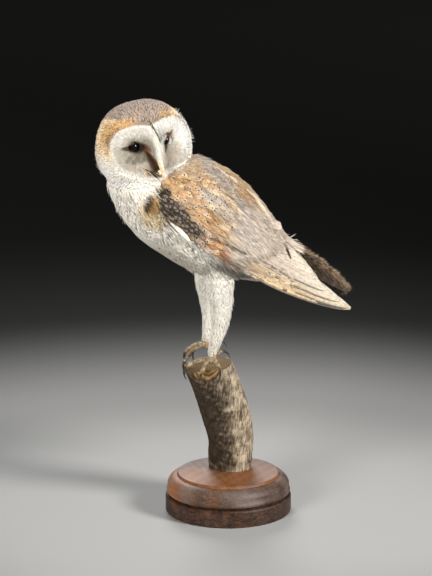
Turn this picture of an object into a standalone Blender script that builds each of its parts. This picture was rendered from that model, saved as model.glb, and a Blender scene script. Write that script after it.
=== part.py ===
"""A taxidermy barn owl, life size, standing on a sawn length of branch on a turned wooden plinth.

Metres, +Z up. The trunk faces -Y and the bird's left side is +X. The origin is the centre of the
plinth's foot. The trunk leans forward and the head is turned a quarter turn to the bird's left.
"""

import math

import bmesh
import bpy
from mathutils import Matrix, Vector

MM = 0.001

# Driving dimensions, in millimetres.
PLINTH_RADIUS = 76.5
PLINTH_HEIGHT = 48.0
PLINTH_TOP_RADIUS = 61.5
HEAD_HALF_WIDTH = 56.2
HEAD_CROWN_HEIGHT = 51.0
HEAD_CHIN_DEPTH = 45.0
HEAD_FACE_DEPTH = 33.5
HEAD_NAPE_DEPTH = 42.5
HEAD_CENTRE = (8.0, -107.0, 458.7)
HEAD_TURN = math.radians(96)
HEAD_NOD = math.radians(1)
HEAD_TILT = math.radians(-9.5)
EYE_RADIUS = 8.2
EYE_SPACING = 41.6
EYE_HEIGHT = 6.5
EYE_DEPTH = 18.8
BILL_LENGTH = 27.5
TAIL_LENGTH = 118.0
TAIL_HALF_WIDTH = 21.0
TOE_RADIUS = 3.0
CLAW_LENGTH = 18.0
BODY_BULGE = 2.25
HEAD_BULGE = 2.8
GAP = 0.3
CUTTER_GROWTH = 0.45

# The trunk in side view, as (y, z) pairs from the neck root to the rump: the belly line and the
# back line that face each other across it, with the half-width there.
BELLY_LINE = ((-148, 424), (-146, 406), (-134, 378), (-112, 347), (-83, 325), (-52, 305), (-18, 294),
              (14, 289), (46, 283), (60, 289))
BACK_LINE = ((-42, 438), (-26, 434), (-5, 423), (18, 405), (32, 389), (46, 371), (59, 352),
             (70, 336), (82, 320), (84, 312))
TRUNK_WIDTHS = (39, 45.5, 48, 48, 48, 46.5, 43, 36, 27, 19)

# The folded wing beyond the trunk, as (y, z) of its axis with half its depth and how far out it lies.
WING_TAIL_AXIS = ((80, 297), (104, 278), (130, 261), (155, 248))
WING_TAIL_HALF_DEPTHS = (28, 20, 14, 3.5)
WING_TAIL_OFFSETS = (38, 33, 29, 26)

# The left leg, as (x, y, z) from inside the belly to the heel and on to the ankle, with its radius
# fore and aft. The right leg is its mirror, with its ankle moved to the other side's own place.
THIGH_AXIS = ((21, -16, 318), (22, -18, 286), (21.5, -16.5, 264))
THIGH_RADII = (19, 15.5, 12.5)
SHANK_AXIS = ((21.5, -16.5, 264), (21, -17.5, 242), (20.5, -21.5, 224), (20, -26.5, 207), (20, -28, 200))
SHANK_RADII = (12.5, 10, 7.5, 5.2, 4.8)
ANKLE_SHIFT = {1: (0, 0, 0), -1: (0, 6, 8)}
BALL_DROP = 3.5

# Each toe as (heading, reach, drop, arch, claw_pitch): degrees out from straight ahead, millimetres
# along, down and up, and degrees below level at which its claw starts.
TOES = {
    1: {"inner": (-27, 31.0, 10.5, 1.0, 55), "middle": (24, 16.5, 15.0, 2.5, 80),
        "outer": (118, 13.0, 9.0, 2.0, 60), "hind": (192, 14.0, -8.5, 1.5, 5)},
    -1: {"inner": (-24, 35.0, 15.0, 3.0, 60), "middle": (4, 25.5, 8.0, 3.0, 60),
         "outer": (62, 22.0, 13.0, 2.0, 70), "hind": (188, 13.0, -6.5, 1.5, 5)},
}

# The branch's axis, its radii, and two saw cuts as (point, normal): its top and a split below the rim.
BRANCH_AXIS = ((-20, 9.5, 48), (-19.5, 9.5, 66), (-16.5, 8, 86), (-11.5, 0.5, 118), (-7.5, -7.5, 143),
               (-1.5, -23, 177), (3, -36, 202))
BRANCH_RADII = (26.7, 26.8, 27, 28.4, 28.6, 28.2, 28.2)
BRANCH_CUTS = (((0, -20, 184.0), (0.03, -0.13, 1.0)), ((23.4, -34.8, 172.0), (0.81, -0.41, 0.42)))


def clear_scene():
    for obj in list(bpy.data.objects):
        bpy.data.objects.remove(obj)


def material(name, colour, roughness):
    """A Principled material of one sRGB colour, given as a hex string."""
    made = bpy.data.materials.new(name)
    made.use_nodes = True
    shader = made.node_tree.nodes["Principled BSDF"]
    channels = [int(colour[i:i + 2], 16) / 255 for i in (0, 2, 4)]
    linear = [c / 12.92 if c <= 0.04045 else ((c + 0.055) / 1.055) ** 2.4 for c in channels]
    shader.inputs["Base Color"].default_value = (*linear, 1)
    shader.inputs["Roughness"].default_value = roughness
    made.diffuse_color = (*linear, 1)
    return made


def smooth_line(points, count):
    """Points evenly spaced in parameter on a Catmull-Rom curve through the given tuples."""
    known = [Vector(p) if len(p) > 1 else Vector((p[0], 0)) for p in points]
    known = [2 * known[0] - known[1], *known, 2 * known[-1] - known[-2]]
    spans = len(known) - 3
    made = []
    for i in range(count):
        at = i * spans / (count - 1)
        span = min(int(at), spans - 1)
        t = at - span
        a, b, c, d = known[span:span + 4]
        made.append(0.5 * (2 * b + (c - a) * t + (2 * a - 5 * b + 4 * c - d) * t ** 2
                           + (3 * b - a - 3 * c + d) * t ** 3))
    return made


def smooth_values(values, count):
    return [p[0] for p in smooth_line([(v,) for v in values], count)]


def new_object(name, bm, finish, scale=MM):
    """A smooth-shaded object from a bmesh built in millimetres, with its faces turned outwards."""
    bmesh.ops.scale(bm, vec=(scale,) * 3, verts=bm.verts)
    bmesh.ops.recalc_face_normals(bm, faces=bm.faces)
    mesh = bpy.data.meshes.new(name)
    bm.to_mesh(mesh)
    bm.free()
    mesh.shade_smooth()
    mesh.set_sharp_from_angle(angle=math.radians(50))
    obj = bpy.data.objects.new(name, mesh)
    bpy.context.scene.collection.objects.link(obj)
    if finish is not None:
        mesh.materials.append(finish)
    return obj


def loft(rings):
    """A closed bmesh through rings of equal count, each end closed by a fan to the ring's centre."""
    bm = bmesh.new()
    loops = [[bm.verts.new(p) for p in ring] for ring in rings]
    sides = len(rings[0])
    for lower, upper in zip(loops, loops[1:]):
        for i in range(sides):
            j = (i + 1) % sides
            bm.faces.new((lower[i], lower[j], upper[j], upper[i]))
    for loop in (loops[0], loops[-1]):
        centre = bm.verts.new(sum((v.co for v in loop), Vector()) / sides)
        for i in range(sides):
            bm.faces.new((loop[i], loop[(i + 1) % sides], centre))
    return bm


def tube(axis, radii, sides, flatten=1.0, across=Vector((1, 0, 0))):
    """Rings round a 3D axis: each radius lies in the plane square to the axis, times flatten along across."""
    rings = []
    for i, (centre, radius) in enumerate(zip(axis, radii)):
        along = (axis[min(i + 1, len(axis) - 1)] - axis[max(i - 1, 0)]).normalized()
        side = (across - along * across.dot(along)).normalized()
        other = along.cross(side)
        rings.append([centre + radius * (flatten * math.cos(a) * side + math.sin(a) * other)
                      for a in (2 * math.pi * k / sides for k in range(sides))])
    return rings


def grown_cutter(source, growth=CUTTER_GROWTH):
    """A hidden copy of a solid, grown along its normals, that leaves a gap round it when it cuts."""
    bm = bmesh.new()
    bm.from_mesh(source.data)
    bm.normal_update()
    for vert, normal in [(v, v.normal.copy()) for v in bm.verts]:
        vert.co += normal * growth * MM
    cutter = new_object(source.name + "_cutter", bm, None, scale=1.0)
    cutter.matrix_world = source.matrix_world
    cutter.hide_render = True
    cutter.display_type = "WIRE"
    return cutter


def cut_by(obj, *cutters):
    for cutter in cutters:
        modifier = obj.modifiers.new("cut_by_" + cutter.name, "BOOLEAN")
        modifier.operation = "DIFFERENCE"
        modifier.solver = "EXACT"
        modifier.object = cutter


def joined_to(obj, *others):
    for other in others:
        modifier = obj.modifiers.new("joined_to_" + other.name, "BOOLEAN")
        modifier.operation = "UNION"
        modifier.solver = "EXACT"
        modifier.object = other
        other.hide_render = True
        other.display_type = "WIRE"


# ---------------------------------------------------------------------------------------------
# The mount: a turned plinth and a bent length of branch, sawn square at both ends.


def arc(centre, radius, start, end, steps):
    """(radius, height) points on an arc, in degrees from the outward direction."""
    angles = [math.radians(start + (end - start) * i / steps) for i in range(steps + 1)]
    return [(centre[0] + radius * math.cos(a), centre[1] + radius * math.sin(a)) for a in angles]


def plinth(finish):
    """A plain lower disc, a groove, a bead, and an ovolo that rises to the flat top."""
    groove_height = 22.0
    profile = [(0, PLINTH_HEIGHT), (PLINTH_TOP_RADIUS - 0.8, PLINTH_HEIGHT),
               (PLINTH_TOP_RADIUS, PLINTH_HEIGHT - 0.8), (PLINTH_TOP_RADIUS, PLINTH_HEIGHT - 3.0)]
    profile += arc((PLINTH_TOP_RADIUS - 0.2, 31.5), 13.2, 78, 12, 4)
    profile += arc((PLINTH_RADIUS - 4.6, 26.5), 3.4, 50, -75, 3)
    profile += [(PLINTH_RADIUS - 5.5, groove_height + 0.6), (PLINTH_RADIUS - 5.5, groove_height - 0.6)]
    profile += arc((PLINTH_RADIUS - 2.6, groove_height - 3.2), 2.6, 80, 0, 2)
    profile += [(PLINTH_RADIUS, 3.0), (PLINTH_RADIUS - 2.5, 0), (0, 0)]
    bm = bmesh.new()
    verts = [bm.verts.new((r, 0, z)) for r, z in profile]
    edges = [bm.edges.new(pair) for pair in zip(verts, verts[1:])]
    bmesh.ops.spin(bm, geom=verts + edges, cent=(0, 0, 0), axis=(0, 0, 1), angle=2 * math.pi,
                   steps=32, use_merge=True)
    bmesh.ops.remove_doubles(bm, verts=bm.verts, dist=0.01)
    return new_object("plinth", bm, finish)


def branch(finish):
    """Rings along the bent axis, with low swellings under the bark and a sloping sawn top."""
    count, sides = 13, 20
    axis = smooth_line(BRANCH_AXIS, count)
    radii = smooth_values(BRANCH_RADII, count)
    rings = tube(axis, radii, sides)
    for k, ring in enumerate(rings[1:-1], start=1):
        for i, point in enumerate(ring):
            angle = 2 * math.pi * i / sides
            swell = 0.025 * math.sin(3 * angle + 0.9 * k) + 0.02 * math.cos(2 * angle - 0.5 * k)
            ring[i] = axis[k] + (point - axis[k]) * (1 + swell)
    rings[0] = [Vector((p.x, p.y, PLINTH_HEIGHT + GAP)) for p in rings[0]]
    bm = loft(rings)
    for point, normal in BRANCH_CUTS:
        cut = bmesh.ops.bisect_plane(bm, geom=bm.verts[:] + bm.edges[:] + bm.faces[:], plane_co=point,
                                     plane_no=normal, clear_outer=True)
        rim = [e for e in cut["geom_cut"] if isinstance(e, bmesh.types.BMEdge)]
        bmesh.ops.contextual_create(bm, geom=rim)
    return new_object("branch", bm, finish)


# ---------------------------------------------------------------------------------------------
# Trunk and neck: one tube lofted between the belly line and the back line.


def body_ring(belly, back, half_width, sides=24, bulge=BODY_BULGE):
    """A superellipse between the two lines, from the back (+90 degrees) to the belly (-90)."""
    centre = (belly + back) / 2
    half = (back - belly) / 2
    ring = []
    for i in range(sides):
        a = 2 * math.pi * i / sides
        c, s = math.cos(a), math.sin(a)
        scale = (abs(c) ** bulge + abs(s) ** bulge) ** (-1 / bulge)
        out = half_width * c * scale
        ring.append(Vector((out, centre[0] + half[0] * s * scale, centre[1] + half[1] * s * scale)))
    return ring


def body_tube(name, first, last, finish, lift=0.0):
    """The stretch of the body between two of its rings; lift moves the first ring in by that much."""
    count = 19
    belly = smooth_line(BELLY_LINE, count)
    back = smooth_line(BACK_LINE, count)
    widths = smooth_values(TRUNK_WIDTHS, count)
    rings = [body_ring(*r) for r in zip(belly, back, widths)][first:last + 1]
    along = (sum(rings[1], Vector()) - sum(rings[0], Vector())).normalized()
    rings[0] = [p + along * lift for p in rings[0]]
    return new_object(name, loft(rings), finish)


# ---------------------------------------------------------------------------------------------
# Head, in its own frame: the face looks along -Y, +X is the bird's left, the origin is its centre.


def head_pose():
    """The head's place: tilted about its own axis of sight, nodded down, then turned to the left."""
    turn = Matrix.Rotation(HEAD_TURN, 4, "Z")
    nod = Matrix.Rotation(HEAD_NOD, 4, "X")
    tilt = Matrix.Rotation(HEAD_TILT, 4, "Y")
    return Matrix.Translation(Vector(HEAD_CENTRE) * MM) @ turn @ nod @ tilt


def bump(distance, reach):
    """1 at no distance, falling smoothly to 0 at reach."""
    t = min(abs(distance) / reach, 1.0)
    return (1 - t * t) ** 2


def face_relief(x, z):
    """How far the face stands forward of the plain head: two dished lobes and the ridge above the bill."""
    dish = 9.0 * bump(math.hypot(abs(x) - 21.5, z - 5.0), 27.0)
    ridge_x = 1.5 * bump(z, 34.0)
    return 13.0 * bump(z + 2.0, 38.0) * bump(x - ridge_x, 13.0) - dish


def head_point(ring_angle, around):
    """A point of the head at an angle from the line of sight, on a rounded box with the face's relief."""
    direction = Vector((math.sin(ring_angle) * math.cos(around), -math.cos(ring_angle),
                        math.sin(ring_angle) * math.sin(around)))
    sizes = (HEAD_HALF_WIDTH, HEAD_FACE_DEPTH if direction.y < 0 else HEAD_NAPE_DEPTH,
             HEAD_CROWN_HEIGHT if direction.z > 0 else HEAD_CHIN_DEPTH)
    reach = sum(abs(d / s) ** HEAD_BULGE for d, s in zip(direction, sizes)) ** (-1 / HEAD_BULGE)
    point = direction * reach
    point.x *= 1 - 0.004 * max(point.z, 0.0)
    if point.y < 0:
        point.y -= face_relief(point.x, point.z)
    return point


def head(finish):
    sides = 30
    angles = [math.radians(a) for a in (6, 13, 20, 27, 34, 41, 48, 55, 62, 70, 80, 92, 108, 126, 146, 164)]
    rings = [[head_point(a, 2 * math.pi * i / sides) for i in range(sides)] for a in angles]
    made = new_object("head", loft(rings), finish)
    made.matrix_world = head_pose()
    return made


def eye_place(side):
    return Vector((side * EYE_SPACING / 2, -EYE_DEPTH, EYE_HEIGHT))


def eyeball(name, side, radius, finish):
    bm = bmesh.new()
    bmesh.ops.create_uvsphere(bm, u_segments=12, v_segments=8, radius=radius)
    made = new_object(name, bm, finish)
    made.matrix_world = head_pose() @ Matrix.Translation(eye_place(side) * MM)
    return made


def hook(name, start, length, bends, root_radius, finish, flatten=0.75, steps=9, sides=12):
    """A cone in the head's middle plane that starts at a point and bends downwards as it tapers."""
    axis, radii = [], []
    for i in range(steps):
        t = i / (steps - 1)
        bend = math.radians(bends[0] + (bends[1] - bends[0]) * t)
        step = Vector((0, -math.cos(bend), -math.sin(bend))) * length / (steps - 1)
        axis.append(axis[-1] + step if axis else Vector(start))
        radii.append(root_radius * (1 - t) ** 0.65 + 0.5)
    made = new_object(name, loft(tube(axis, radii, sides, flatten=flatten)), finish)
    made.matrix_world = head_pose()
    return made


# ---------------------------------------------------------------------------------------------
# Wings and tail.


def wing_stations(count=15, skipped=2):
    """(centre, half-depth vector, outward reach, share of the length) from behind the shoulder to the tip."""
    starts = list(zip(BELLY_LINE, BACK_LINE))[0:7]
    centres = [((a[0] + b[0]) / 2, (a[1] + b[1]) / 2) for a, b in starts]
    halves = [((b[0] - a[0]) / 2, (b[1] - a[1]) / 2) for a, b in starts]
    reaches = [49, 53, 55, 55, 54.5, 52.5, 48.5]
    for (y, z), depth, reach in zip(WING_TAIL_AXIS, WING_TAIL_HALF_DEPTHS, WING_TAIL_OFFSETS):
        centres.append((y, z))
        halves.append((0.45 * depth, 0.89 * depth))
        reaches.append(reach)
    samples = count + skipped
    lines = smooth_line(centres, samples), smooth_line(halves, samples), smooth_values(reaches, samples)
    return zip(*(line[skipped:] for line in lines), [i / (count - 1) for i in range(count)])


def wing_ring(centre, half, reach, t, points=9):
    """A crescent: its outer side follows the body's section, its inner side lies 7 to 3 mm within."""
    low = -33 + 8 * math.sin(math.pi * min(t / 0.55, 1)) - 52 * max(t - 0.55, 0) / 0.45
    high = 62 + 24 * max(t - 0.55, 0) / 0.45
    close = min(1.0, 0.35 + t / 0.09)
    thick = (7.0 - 4.0 * t) * close
    middle = (low + high) / 2
    angles = [math.radians(middle + (low + (high - low) * i / (points - 1) - middle) * close)
              for i in range(points)]

    def place(angle, inset):
        c, s = math.cos(angle), math.sin(angle)
        scale = (abs(c) ** BODY_BULGE + abs(s) ** BODY_BULGE) ** (-1 / BODY_BULGE)
        out = (reach - inset) * c * scale
        if t > 0.6:
            out = reach - inset - (1 - max(c, 0.0)) * 4.0
        return Vector((out, centre[0] + half[0] * s * scale, centre[1] + half[1] * s * scale))

    outer = [place(a, 0.0) for a in angles]
    inner = [place(a, thick) for a in reversed(angles)]
    return outer + inner


def wing(name, side, finish):
    rings = [wing_ring(*station) for station in wing_stations()]
    rings = [[Vector((side * p.x, p.y, p.z)) for p in ring] for ring in rings]
    return new_object(name, loft(rings), finish)


def tail(finish):
    """Twelve folded tail feathers as one slab, roofed along the middle, from the rump to its blunt end."""
    root, slope = Vector((48, 318)), math.radians(-27.5)
    along = Vector((math.cos(slope), math.sin(slope)))
    up = Vector((-along.y, along.x))
    rings = []
    for t, width, thick in ((0, 0.75, 9), (0.25, 0.85, 9), (0.5, 0.92, 9), (0.75, 0.98, 8.5),
                            (0.92, 0.98, 7), (1.0, 0.8, 3.5)):
        middle = root + along * TAIL_LENGTH * t
        half = TAIL_HALF_WIDTH * width
        section = [(-1, -0.1), (-0.5, 0.65), (0, 1), (0.5, 0.65), (1, -0.1), (0.95, -0.6), (0, -0.15), (-0.95, -0.6)]
        ring = []
        for across, height in section:
            place = middle + up * height * thick
            ring.append(Vector((across * half, place[0], place[1])))
        rings.append(ring)
    return new_object("tail", loft(rings), finish)


# ---------------------------------------------------------------------------------------------
# Legs and feet.


def leg_part(name, line, radii, side, finish, count=8):
    """A leg's length, with the ankle's shift taken up along the shank, below the heel."""
    shift = Vector(ANKLE_SHIFT[side])
    heel, ankle = SHANK_AXIS[0][2], SHANK_AXIS[-1][2]
    axis = []
    for x, y, z in smooth_line(line, count):
        share = max(heel - z, 0.0) / (heel - ankle)
        axis.append(Vector((side * x, y, z)) + shift * share)
    return new_object(name, loft(tube(axis, smooth_values(radii, count), 14, flatten=0.85)), finish)


def foot_place(side):
    """The ball of the foot, just under the ankle, held above the branch by the arched toes."""
    x, y, z = SHANK_AXIS[-1]
    place = Vector((side * x, y, z)) + Vector(ANKLE_SHIFT[side])
    return place - Vector((0, 0, BALL_DROP))


def toe_axis(side, toe, count=8):
    """A toe from the ball of the foot out along its heading, arched up and then down over the edge."""
    heading, reach, drop, arch, _ = TOES[side][toe]
    turn = math.radians(heading)
    out = Vector((side * math.sin(turn), -math.cos(turn), 0))
    axis = []
    for i in range(count):
        t = i / (count - 1)
        axis.append(foot_place(side) + out * reach * t + Vector((0, 0, 4 * arch * t * (1 - t) - drop * t ** 1.6)))
    return axis


def foot(name, side, finish):
    """The ball of the foot with its four toes, joined into one piece, and the toes as they were before."""
    bm = bmesh.new()
    bmesh.ops.create_icosphere(bm, subdivisions=2, radius=5.0)
    bmesh.ops.translate(bm, vec=foot_place(side), verts=bm.verts)
    made = new_object(name, bm, finish)
    toes = {}
    for toe in TOES[side]:
        axis = toe_axis(side, toe)
        radii = [TOE_RADIUS * (1.2 - 0.35 * i / 7 + 0.08 * math.cos(i * math.pi)) for i in range(8)]
        toes[toe] = new_object(f"{name}_{toe}", loft(tube(axis, radii, 7)), None)
    joined_to(made, *toes.values())
    return made, toes


def claw(name, side, toe, finish, steps=6, curl=75):
    """A tapering hook that goes on from the toe and curls down and back."""
    axis = toe_axis(side, toe)
    heading = (axis[-1] - axis[-2]).normalized()
    flat = Vector((heading.x, heading.y, 0)).normalized()
    place = axis[-1]
    line, radii = [place], [1.9]
    for i in range(1, steps):
        t = i / (steps - 1)
        bend = math.radians(TOES[side][toe][4] + curl * t)
        place = place + CLAW_LENGTH / (steps - 1) * (flat * math.cos(bend) - Vector((0, 0, math.sin(bend))))
        line.append(place)
        radii.append(1.6 * (1 - t) ** 0.8 + 0.3)
    return new_object(name, loft(tube(line, radii, 6, across=flat.cross(Vector((0, 0, 1))))), finish)


def build():
    clear_scene()
    stained = material("stained_wood", "5A3422", 0.6)
    bark = material("bark", "84745C", 0.9)
    white = material("white_feathers", "E6E0D2", 0.9)
    crown = material("crown_feathers", "C0A58A", 0.9)
    covert = material("wing_feathers", "C9965A", 0.85)
    vane = material("tail_feathers", "8A7860", 0.85)
    horn = material("bill_horn", "D9C6A4", 0.4)
    glass = material("eye_glass", "120C0A", 0.05)
    skin = material("toe_skin", "8E7C68", 0.7)
    dark_horn = material("claw_horn", "2A211C", 0.35)

    plinth(stained)
    stem = branch(bark)
    collar = body_tube("neck", 0, 3, white)
    body = body_tube("trunk", 3, 18, white, lift=GAP)
    skull = head(crown)
    beak = hook("bill_upper", (1.0, -37.5, -8.0), BILL_LENGTH, (38, 108), 5.2, horn)
    jaw = hook("bill_lower", (0.5, -32.0, -22.0), 10.5, (30, 50), 3.4, horn, steps=4, sides=8)
    stern = tail(vane)
    stem_cutter, body_cutter, collar_cutter = grown_cutter(stem), grown_cutter(body), grown_cutter(collar)
    skull_cutter, stern_cutter = grown_cutter(skull), grown_cutter(stern)
    cut_by(beak, skull_cutter)
    cut_by(jaw, skull_cutter, grown_cutter(beak))
    cut_by(body, skull_cutter)
    cut_by(collar, skull_cutter, grown_cutter(beak, 1.0))
    cut_by(stern, body_cutter)
    for word, side in (("left", 1), ("right", -1)):
        socket = eyeball(f"socket_{word}", side, EYE_RADIUS + GAP, None)
        socket.hide_render = True
        socket.display_type = "WIRE"
        cut_by(skull, socket)
        eyeball(f"eye_{word}", side, EYE_RADIUS, glass)
        thigh = leg_part(f"thigh_{word}", THIGH_AXIS, THIGH_RADII, side, white)
        cut_by(thigh, body_cutter)
        shank = leg_part(f"shank_{word}", SHANK_AXIS, SHANK_RADII, side, white)
        cut_by(shank, grown_cutter(thigh))
        sole, toes = foot(f"foot_{word}", side, skin)
        cut_by(sole, stem_cutter, grown_cutter(shank))
        folded = wing(f"wing_{word}", side, covert)
        cut_by(folded, body_cutter, collar_cutter, skull_cutter, stern_cutter, grown_cutter(thigh))
        for toe in TOES[side]:
            cut_by(claw(f"claw_{word}_{toe}", side, toe, dark_horn), stem_cutter, grown_cutter(toes[toe]))


build()
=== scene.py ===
import math
from functools import partial

import bmesh
import bpy
import numpy as np
from mathutils import Matrix, Vector
from mathutils.bvhtree import BVHTree


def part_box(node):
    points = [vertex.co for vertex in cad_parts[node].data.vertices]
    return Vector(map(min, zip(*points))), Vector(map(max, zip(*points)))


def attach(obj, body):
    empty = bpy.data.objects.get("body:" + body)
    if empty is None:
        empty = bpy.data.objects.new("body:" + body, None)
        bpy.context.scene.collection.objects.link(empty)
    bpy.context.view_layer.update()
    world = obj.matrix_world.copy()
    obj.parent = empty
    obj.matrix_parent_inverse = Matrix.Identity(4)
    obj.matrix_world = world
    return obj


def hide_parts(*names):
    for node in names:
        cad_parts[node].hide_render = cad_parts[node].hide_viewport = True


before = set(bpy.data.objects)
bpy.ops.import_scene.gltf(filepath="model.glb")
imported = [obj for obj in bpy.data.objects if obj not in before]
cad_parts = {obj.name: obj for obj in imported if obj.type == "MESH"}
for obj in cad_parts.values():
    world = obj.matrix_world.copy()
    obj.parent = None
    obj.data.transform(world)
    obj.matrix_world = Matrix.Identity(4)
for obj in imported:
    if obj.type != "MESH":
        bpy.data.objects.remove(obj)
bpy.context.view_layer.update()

# ----------------------------------------
# Plinth: a hardwood disc turned on a lathe, stained red-brown and waxed long ago. The wax has worn
# off the edges, dust has dulled the mouldings, and the flat top keeps its warm stain.

MM = 0.001
PLINTH_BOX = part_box("plinth")
PLINTH_RADIUS = PLINTH_BOX[1][0] / MM
PLINTH_HEIGHT = PLINTH_BOX[1][2] / MM
TOP_RADIUS = PLINTH_RADIUS - 15.0
GROOVE_HEIGHT = 22.0
COLOUR_MIX = {"data_type": "RGBA"}
SHADED = {"data_type": "RGBA", "blend_type": "MULTIPLY"}


def linear(colour):
    """The linear red, green and blue of an sRGB colour given as a hex string."""
    channels = np.array([int(colour[i:i + 2], 16) for i in (0, 2, 4)]) / 255
    return np.where(channels <= 0.04045, channels / 12.92, ((channels + 0.055) / 1.055) ** 2.4)


def rgba(colour):
    """A hex colour in linear light, with full opacity."""
    return (*linear(colour), 1.0)


def node(tree, kind, inputs=(), out=0, stops=(), **settings):
    """Adds a shader node and returns an output. Inputs, in a row or by socket, are values, hex colours or
    other outputs; stops are a colour ramp's; settings are the node's properties."""
    made = tree.nodes.new("ShaderNode" + kind)
    for key, value in settings.items():
        setattr(made, key, value)
    for key, value in inputs.items() if isinstance(inputs, dict) else enumerate(inputs):
        if isinstance(value, bpy.types.NodeSocket):
            tree.links.new(value, made.inputs[key])
        else:
            made.inputs[key].default_value = rgba(value) if isinstance(value, str) else value
    if stops:
        ends = made.color_ramp.elements
        for end, (position, colour) in zip(ends, (stops[0], stops[-1])):
            end.position, end.color = position, rgba(colour)
        for position, colour in stops[1:-1]:
            ends.new(position).color = rgba(colour)
    return made.outputs[out]


def new_finish(name, colour, roughness, **sockets):
    """A Principled material, a function that adds nodes to it, and its Object coordinates."""
    made = bpy.data.materials.new(name)
    made.use_nodes = True
    add = partial(node, made.node_tree)
    shader = made.node_tree.nodes["Principled BSDF"]
    sockets.update(Base_Color=rgba(colour), Roughness=roughness)
    for key, value in sockets.items():
        shader.inputs[key.replace("_", " ")].default_value = value
    return made, add, add("TexCoord", out="Object")


def dressed(made, colour, height=None, strength=0.0, distance=0.0, roughness=None):
    """The material, with a colour, a relief from a height and a roughness wired to its shader."""
    tree = made.node_tree
    relief = node(tree, "Bump", {"Height": height, "Strength": strength, "Distance": distance}) if height else None
    for key, source in (("Base Color", colour), ("Roughness", roughness), ("Normal", relief)):
        if source:
            tree.links.new(source, tree.nodes["Principled BSDF"].inputs[key])
    return made


def new_object(name, data):
    """An object for the data, unturned at the origin, in the scene."""
    made = bpy.data.objects.new(name, data)
    bpy.context.scene.collection.objects.link(made)
    return made


def new_piece(name, points, faces, finish, replaced=()):
    """A mesh at the origin from points in millimetres and arrays of faces, riding on the still body."""
    mesh = bpy.data.meshes.new(name)
    points = np.reshape(points, (-1, 3))
    corners = np.concatenate([f.ravel() for f in faces]).astype(np.int32)
    totals = np.concatenate([np.full(len(f), f.shape[1]) for f in faces])
    mesh.vertices.add(len(points))
    mesh.vertices.foreach_set("co", (points * MM).astype(np.float32).ravel())
    mesh.loops.add(len(corners))
    mesh.loops.foreach_set("vertex_index", corners)
    mesh.polygons.add(len(totals))
    mesh.polygons.foreach_set("loop_start", (np.cumsum(totals) - totals).astype(np.int32))
    mesh.update(calc_edges=True)
    mesh.shade_smooth()
    mesh.materials.append(finish)
    piece = new_object(name, mesh)
    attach(piece, "root")
    if replaced:
        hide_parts(*replaced)
    return piece


def point_colours(piece, name, colours):
    """Stores one linear colour for each of the mesh's points."""
    layer = piece.data.attributes.new(name, "FLOAT_COLOR", "POINT")
    full = np.ones((len(piece.data.vertices), 4), np.float32)
    full[:, :3] = colours
    layer.data.foreach_set("color", full.ravel())


def closed_grid(grid, ends):
    """Points and faces of a surface whose rows wrap round, closed at both ends by a fan to a point."""
    rows, columns = grid.shape[:2]
    points = np.concatenate([grid.reshape(-1, 3), np.asarray(ends, float)])
    index = np.arange(rows * columns).reshape(rows, columns)
    after = np.roll(index, -1, axis=1)
    quads = packed(index[:-1], after[:-1], after[1:], index[1:]).reshape(-1, 4)
    first = packed(after[0], index[0], rows * columns)
    last = packed(index[-1], after[-1], rows * columns + 1)
    return points, [quads, np.concatenate([first, last])]


def evenly(count):
    """Shares of the way from 0 to 1."""
    return np.linspace(0, 1, count)


def around(columns):
    """Angles evenly spaced round a full turn."""
    return np.linspace(0, 2 * np.pi, columns, endpoint=False)


def packed(*values):
    """Values, each one for all or one for each, side by side as the last axis."""
    return np.stack(np.broadcast_arrays(*values), axis=-1)


def arc(centre, radius, start, end, steps):
    """(radius, height) pairs on an arc, in degrees from the outward direction."""
    angle = np.radians(np.linspace(start, end, steps))
    return packed(centre[0] + radius * np.cos(angle), centre[1] + radius * np.sin(angle))


drawing = np.random.default_rng


def ripple(x, y, z, scale, seed):
    """Smooth wandering between -1 and 1: the mean of four sine waves in directions drawn from the seed."""
    draw = drawing(seed)
    total = 0.0
    for _ in range(4):
        a, b, c, phase = draw.normal(size=4)
        total = total + np.sin((a * x + b * y + c * z) * 2.2 / scale + 6.28 * phase)
    return total / 4


def ease(low, high, value):
    """0 at the low value, 1 at the high one, with a smooth step between."""
    t = np.clip((value - low) / (high - low), 0.0, 1.0)
    return t * t * (3 - 2 * t)


def turned_plinth():
    """Each profile point turned round +Z, its radius worn by up to 0.3 mm where an edge has been knocked."""
    edge, top = PLINTH_RADIUS, PLINTH_HEIGHT
    profile = np.concatenate([
        packed(np.linspace(4, edge - 3, 14), 0),
        arc((edge - 2.2, 2.2), 2.2, -80, -5, 6),
        packed(edge, np.linspace(4.5, GROOVE_HEIGHT - 6.5, 7)),
        arc((edge - 2.6, GROOVE_HEIGHT - 3.2), 2.6, 0, 88, 8),
        [(edge - 4.6, GROOVE_HEIGHT - 0.9), (edge - 5.6, GROOVE_HEIGHT - 0.6), (edge - 5.8, GROOVE_HEIGHT),
         (edge - 5.6, GROOVE_HEIGHT + 0.6)],
        arc((edge - 4.6, 26.5), 3.4, -70, 52, 12),
        arc((TOP_RADIUS - 0.2, 31.5), 13.2, 14, 76, 16),
        [(TOP_RADIUS + 1.4, top - 3.4), (TOP_RADIUS + 0.2, top - 2.9)],
        arc((TOP_RADIUS - 0.9, top - 1.0), 1.0, 0, 90, 5),
        packed(np.linspace(TOP_RADIUS - 3, 3, 22), top)])
    angle = around(180)
    radius, height = profile[:, :1], profile[:, 1:]
    x, y = np.cos(angle) * radius, np.sin(angle) * radius
    knock = ease(0.55, 0.95, ripple(x, y, height * 2.5, 14, 5))
    worn = knock * 0.7 * np.exp(-((height - 21) / 2.5) ** 2) + knock * 0.5 * np.exp(-((height - 1) / 2) ** 2)
    shrink = 1 - worn * (radius > edge - 8) / radius
    grid = packed(x * shrink, y * shrink, height)
    return closed_grid(grid, [(0, 0, 0), (0, 0, top)])


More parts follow.
